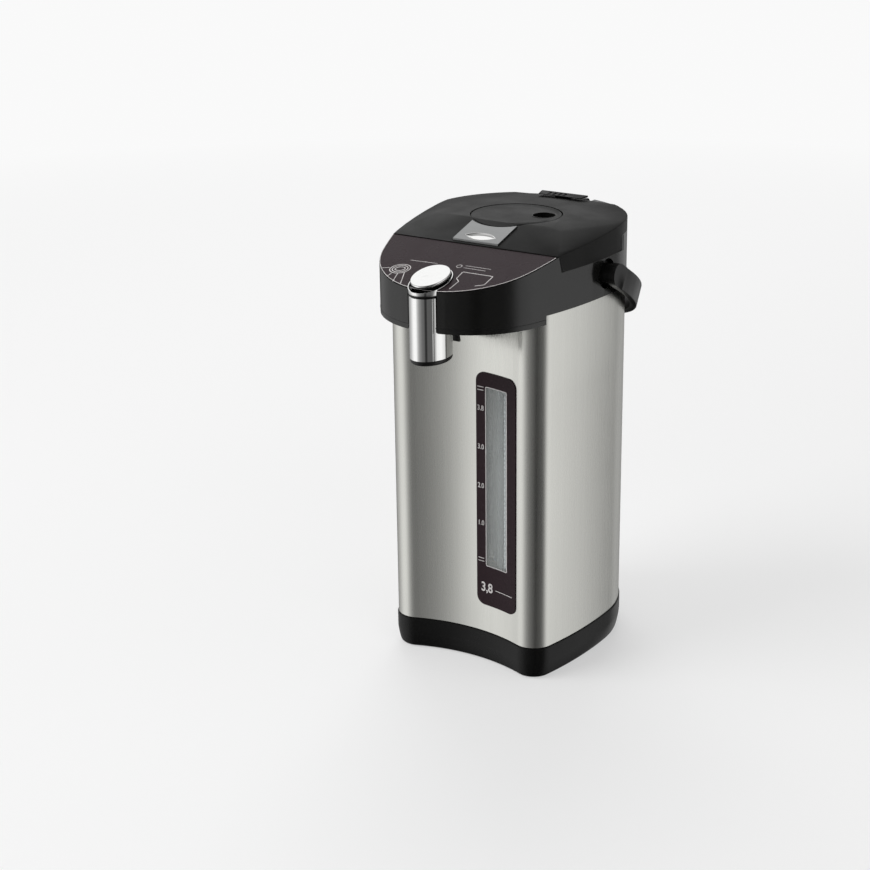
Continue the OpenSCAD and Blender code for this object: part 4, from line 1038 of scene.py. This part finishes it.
def studioWorld():
    world = bpy.data.worlds.new("studio")
    world.use_nodes = True
    bpy.context.scene.world = world
    tree = world.node_tree
    link = tree.links.new
    coords = tree.nodes.new("ShaderNodeTexCoord")
    split = tree.nodes.new("ShaderNodeSeparateXYZ")
    link(coords.outputs["Generated"], split.inputs[0])
    angle = tree.nodes.new("ShaderNodeMath")
    angle.operation = "ARCTAN2"
    link(split.outputs["Y"], angle.inputs[0])
    link(split.outputs["X"], angle.inputs[1])
    turn = tree.nodes.new("ShaderNodeMapRange")
    turn.inputs["From Min"].default_value = -pi
    turn.inputs["From Max"].default_value = pi
    link(angle.outputs[0], turn.inputs["Value"])
    around = rampNode(tree, studio["bands"], -180, 180)
    link(turn.outputs[0], around.inputs[0])
    lift = tree.nodes.new("ShaderNodeMapRange")
    lift.inputs["From Min"].default_value = -1
    link(split.outputs["Z"], lift.inputs["Value"])
    upward = rampNode(tree, studio["heights"], -1, 1)
    link(lift.outputs[0], upward.inputs[0])
    both = tree.nodes.new("ShaderNodeMix")
    both.data_type = "RGBA"
    both.blend_type = "MULTIPLY"
    both.inputs[0].default_value = 1
    link(around.outputs[0], both.inputs[6])
    link(upward.outputs[0], both.inputs[7])
    box = studio["softBox"]
    facing = tree.nodes.new("ShaderNodeVectorMath")
    facing.operation = "DOT_PRODUCT"
    facing.inputs[1].default_value = box["toward"]
    link(coords.outputs["Generated"], facing.inputs[0])
    soft = tree.nodes.new("ShaderNodeMapRange")
    soft.interpolation_type = "SMOOTHSTEP"
    soft.inputs["From Min"].default_value, soft.inputs["From Max"].default_value = box["edges"]
    soft.inputs["To Max"].default_value = box["level"]
    link(facing.outputs["Value"], soft.inputs["Value"])
    lit = tree.nodes.new("ShaderNodeMix")
    lit.data_type = "RGBA"
    lit.blend_type = "LIGHTEN"
    lit.inputs[0].default_value = 1
    link(both.outputs[2], lit.inputs[6])
    link(soft.outputs[0], lit.inputs[7])
    seen = tree.nodes.new("ShaderNodeLightPath")
    pale = tree.nodes.new("ShaderNodeMix")
    pale.data_type = "RGBA"
    pale.inputs[7].default_value = (studio["pale"]["level"],) * 3 + (1,)
    link(seen.outputs["Is Camera Ray"], pale.inputs[0])
    link(lit.outputs[2], pale.inputs[6])
    link(pale.outputs[2], tree.nodes["Background"].inputs["Color"])


def studioFloor():
    bm = bmesh.new()
    bmesh.ops.create_grid(bm, x_segments=4, y_segments=4, size=12)
    mesh = bpy.data.meshes.new("floor")
    bm.to_mesh(mesh)
    bm.free()
    floor = bpy.data.objects.new("floor", mesh)
    bpy.context.scene.collection.objects.link(floor)
    f = Finish("floor", Roughness=0.9, Specular_IOR_Level=0.1)
    f.colour(f.mix(f.noise(3, 3), shade(studio["floor"], 0.99), studio["floor"]))
    # seen directly it is pale, wholly so far off, and it keeps the object's shadow nearby
    away = f.tree.nodes.new("ShaderNodeVectorMath")
    away.operation = "LENGTH"
    f.link(f.coords, away, 0)
    paleness = f.spread(away.outputs["Value"], studio["pale"]["near"], 1, *studio["pale"]["reach"])
    rays = f.tree.nodes.new("ShaderNodeLightPath").outputs
    mirrored = f.add(rays["Is Glossy Ray"], rays["Is Transmission Ray"], "MAXIMUM")
    direct = f.add(rays["Is Camera Ray"], mirrored, "MAXIMUM")
    glow = f.tree.nodes.new("ShaderNodeEmission")
    glow.inputs["Color"].default_value = (studio["pale"]["level"],) * 3 + (1,)
    joined = f.tree.nodes.new("ShaderNodeMixShader")
    f.link(f.add(paleness, direct, "MULTIPLY"), joined, 0)
    f.link(f.shader.outputs[0], joined, 1)
    f.link(glow.outputs[0], joined, 2)
    f.link(joined.outputs[0], f.tree.nodes["Material Output"], "Surface")
    mesh.materials.append(f.material)
    floor.visible_glossy = False


def studioLamp(name):
    facts = studio[name]
    lamp = bpy.data.lights.new(name, "AREA")
    lamp.size = facts["size"]
    lamp.energy = facts["power"]
    thing = bpy.data.objects.new(name, lamp)
    bpy.context.scene.collection.objects.link(thing)
    thing.location = facts["place"]
    thing.rotation_euler = (Vector((0, 0, 0.18)) - thing.location).to_track_quat("-Z", "Y").to_euler()
    thing.visible_glossy = False


camera = {"place": (0.7197, -1.2089, 0.6998), "turn": (71.3, 0, 30.6), "lens": 72.71,
          "shift": (-0.0861, -0.0491)}


def studioCamera():
    data = bpy.data.cameras.new("camera")
    data.lens = camera["lens"]
    data.sensor_width = 36
    data.shift_x, data.shift_y = camera["shift"]
    thing = bpy.data.objects.new("camera", data)
    bpy.context.scene.collection.objects.link(thing)
    thing.location = camera["place"]
    thing.rotation_euler = [radians(a) for a in camera["turn"]]
    bpy.context.scene.camera = thing


studioWorld()
studioFloor()
for lampName in ("key", "fill", "back"):
    studioLamp(lampName)
studioCamera()
bpy.context.scene.view_settings.view_transform = "Standard"
print("stage: studio")
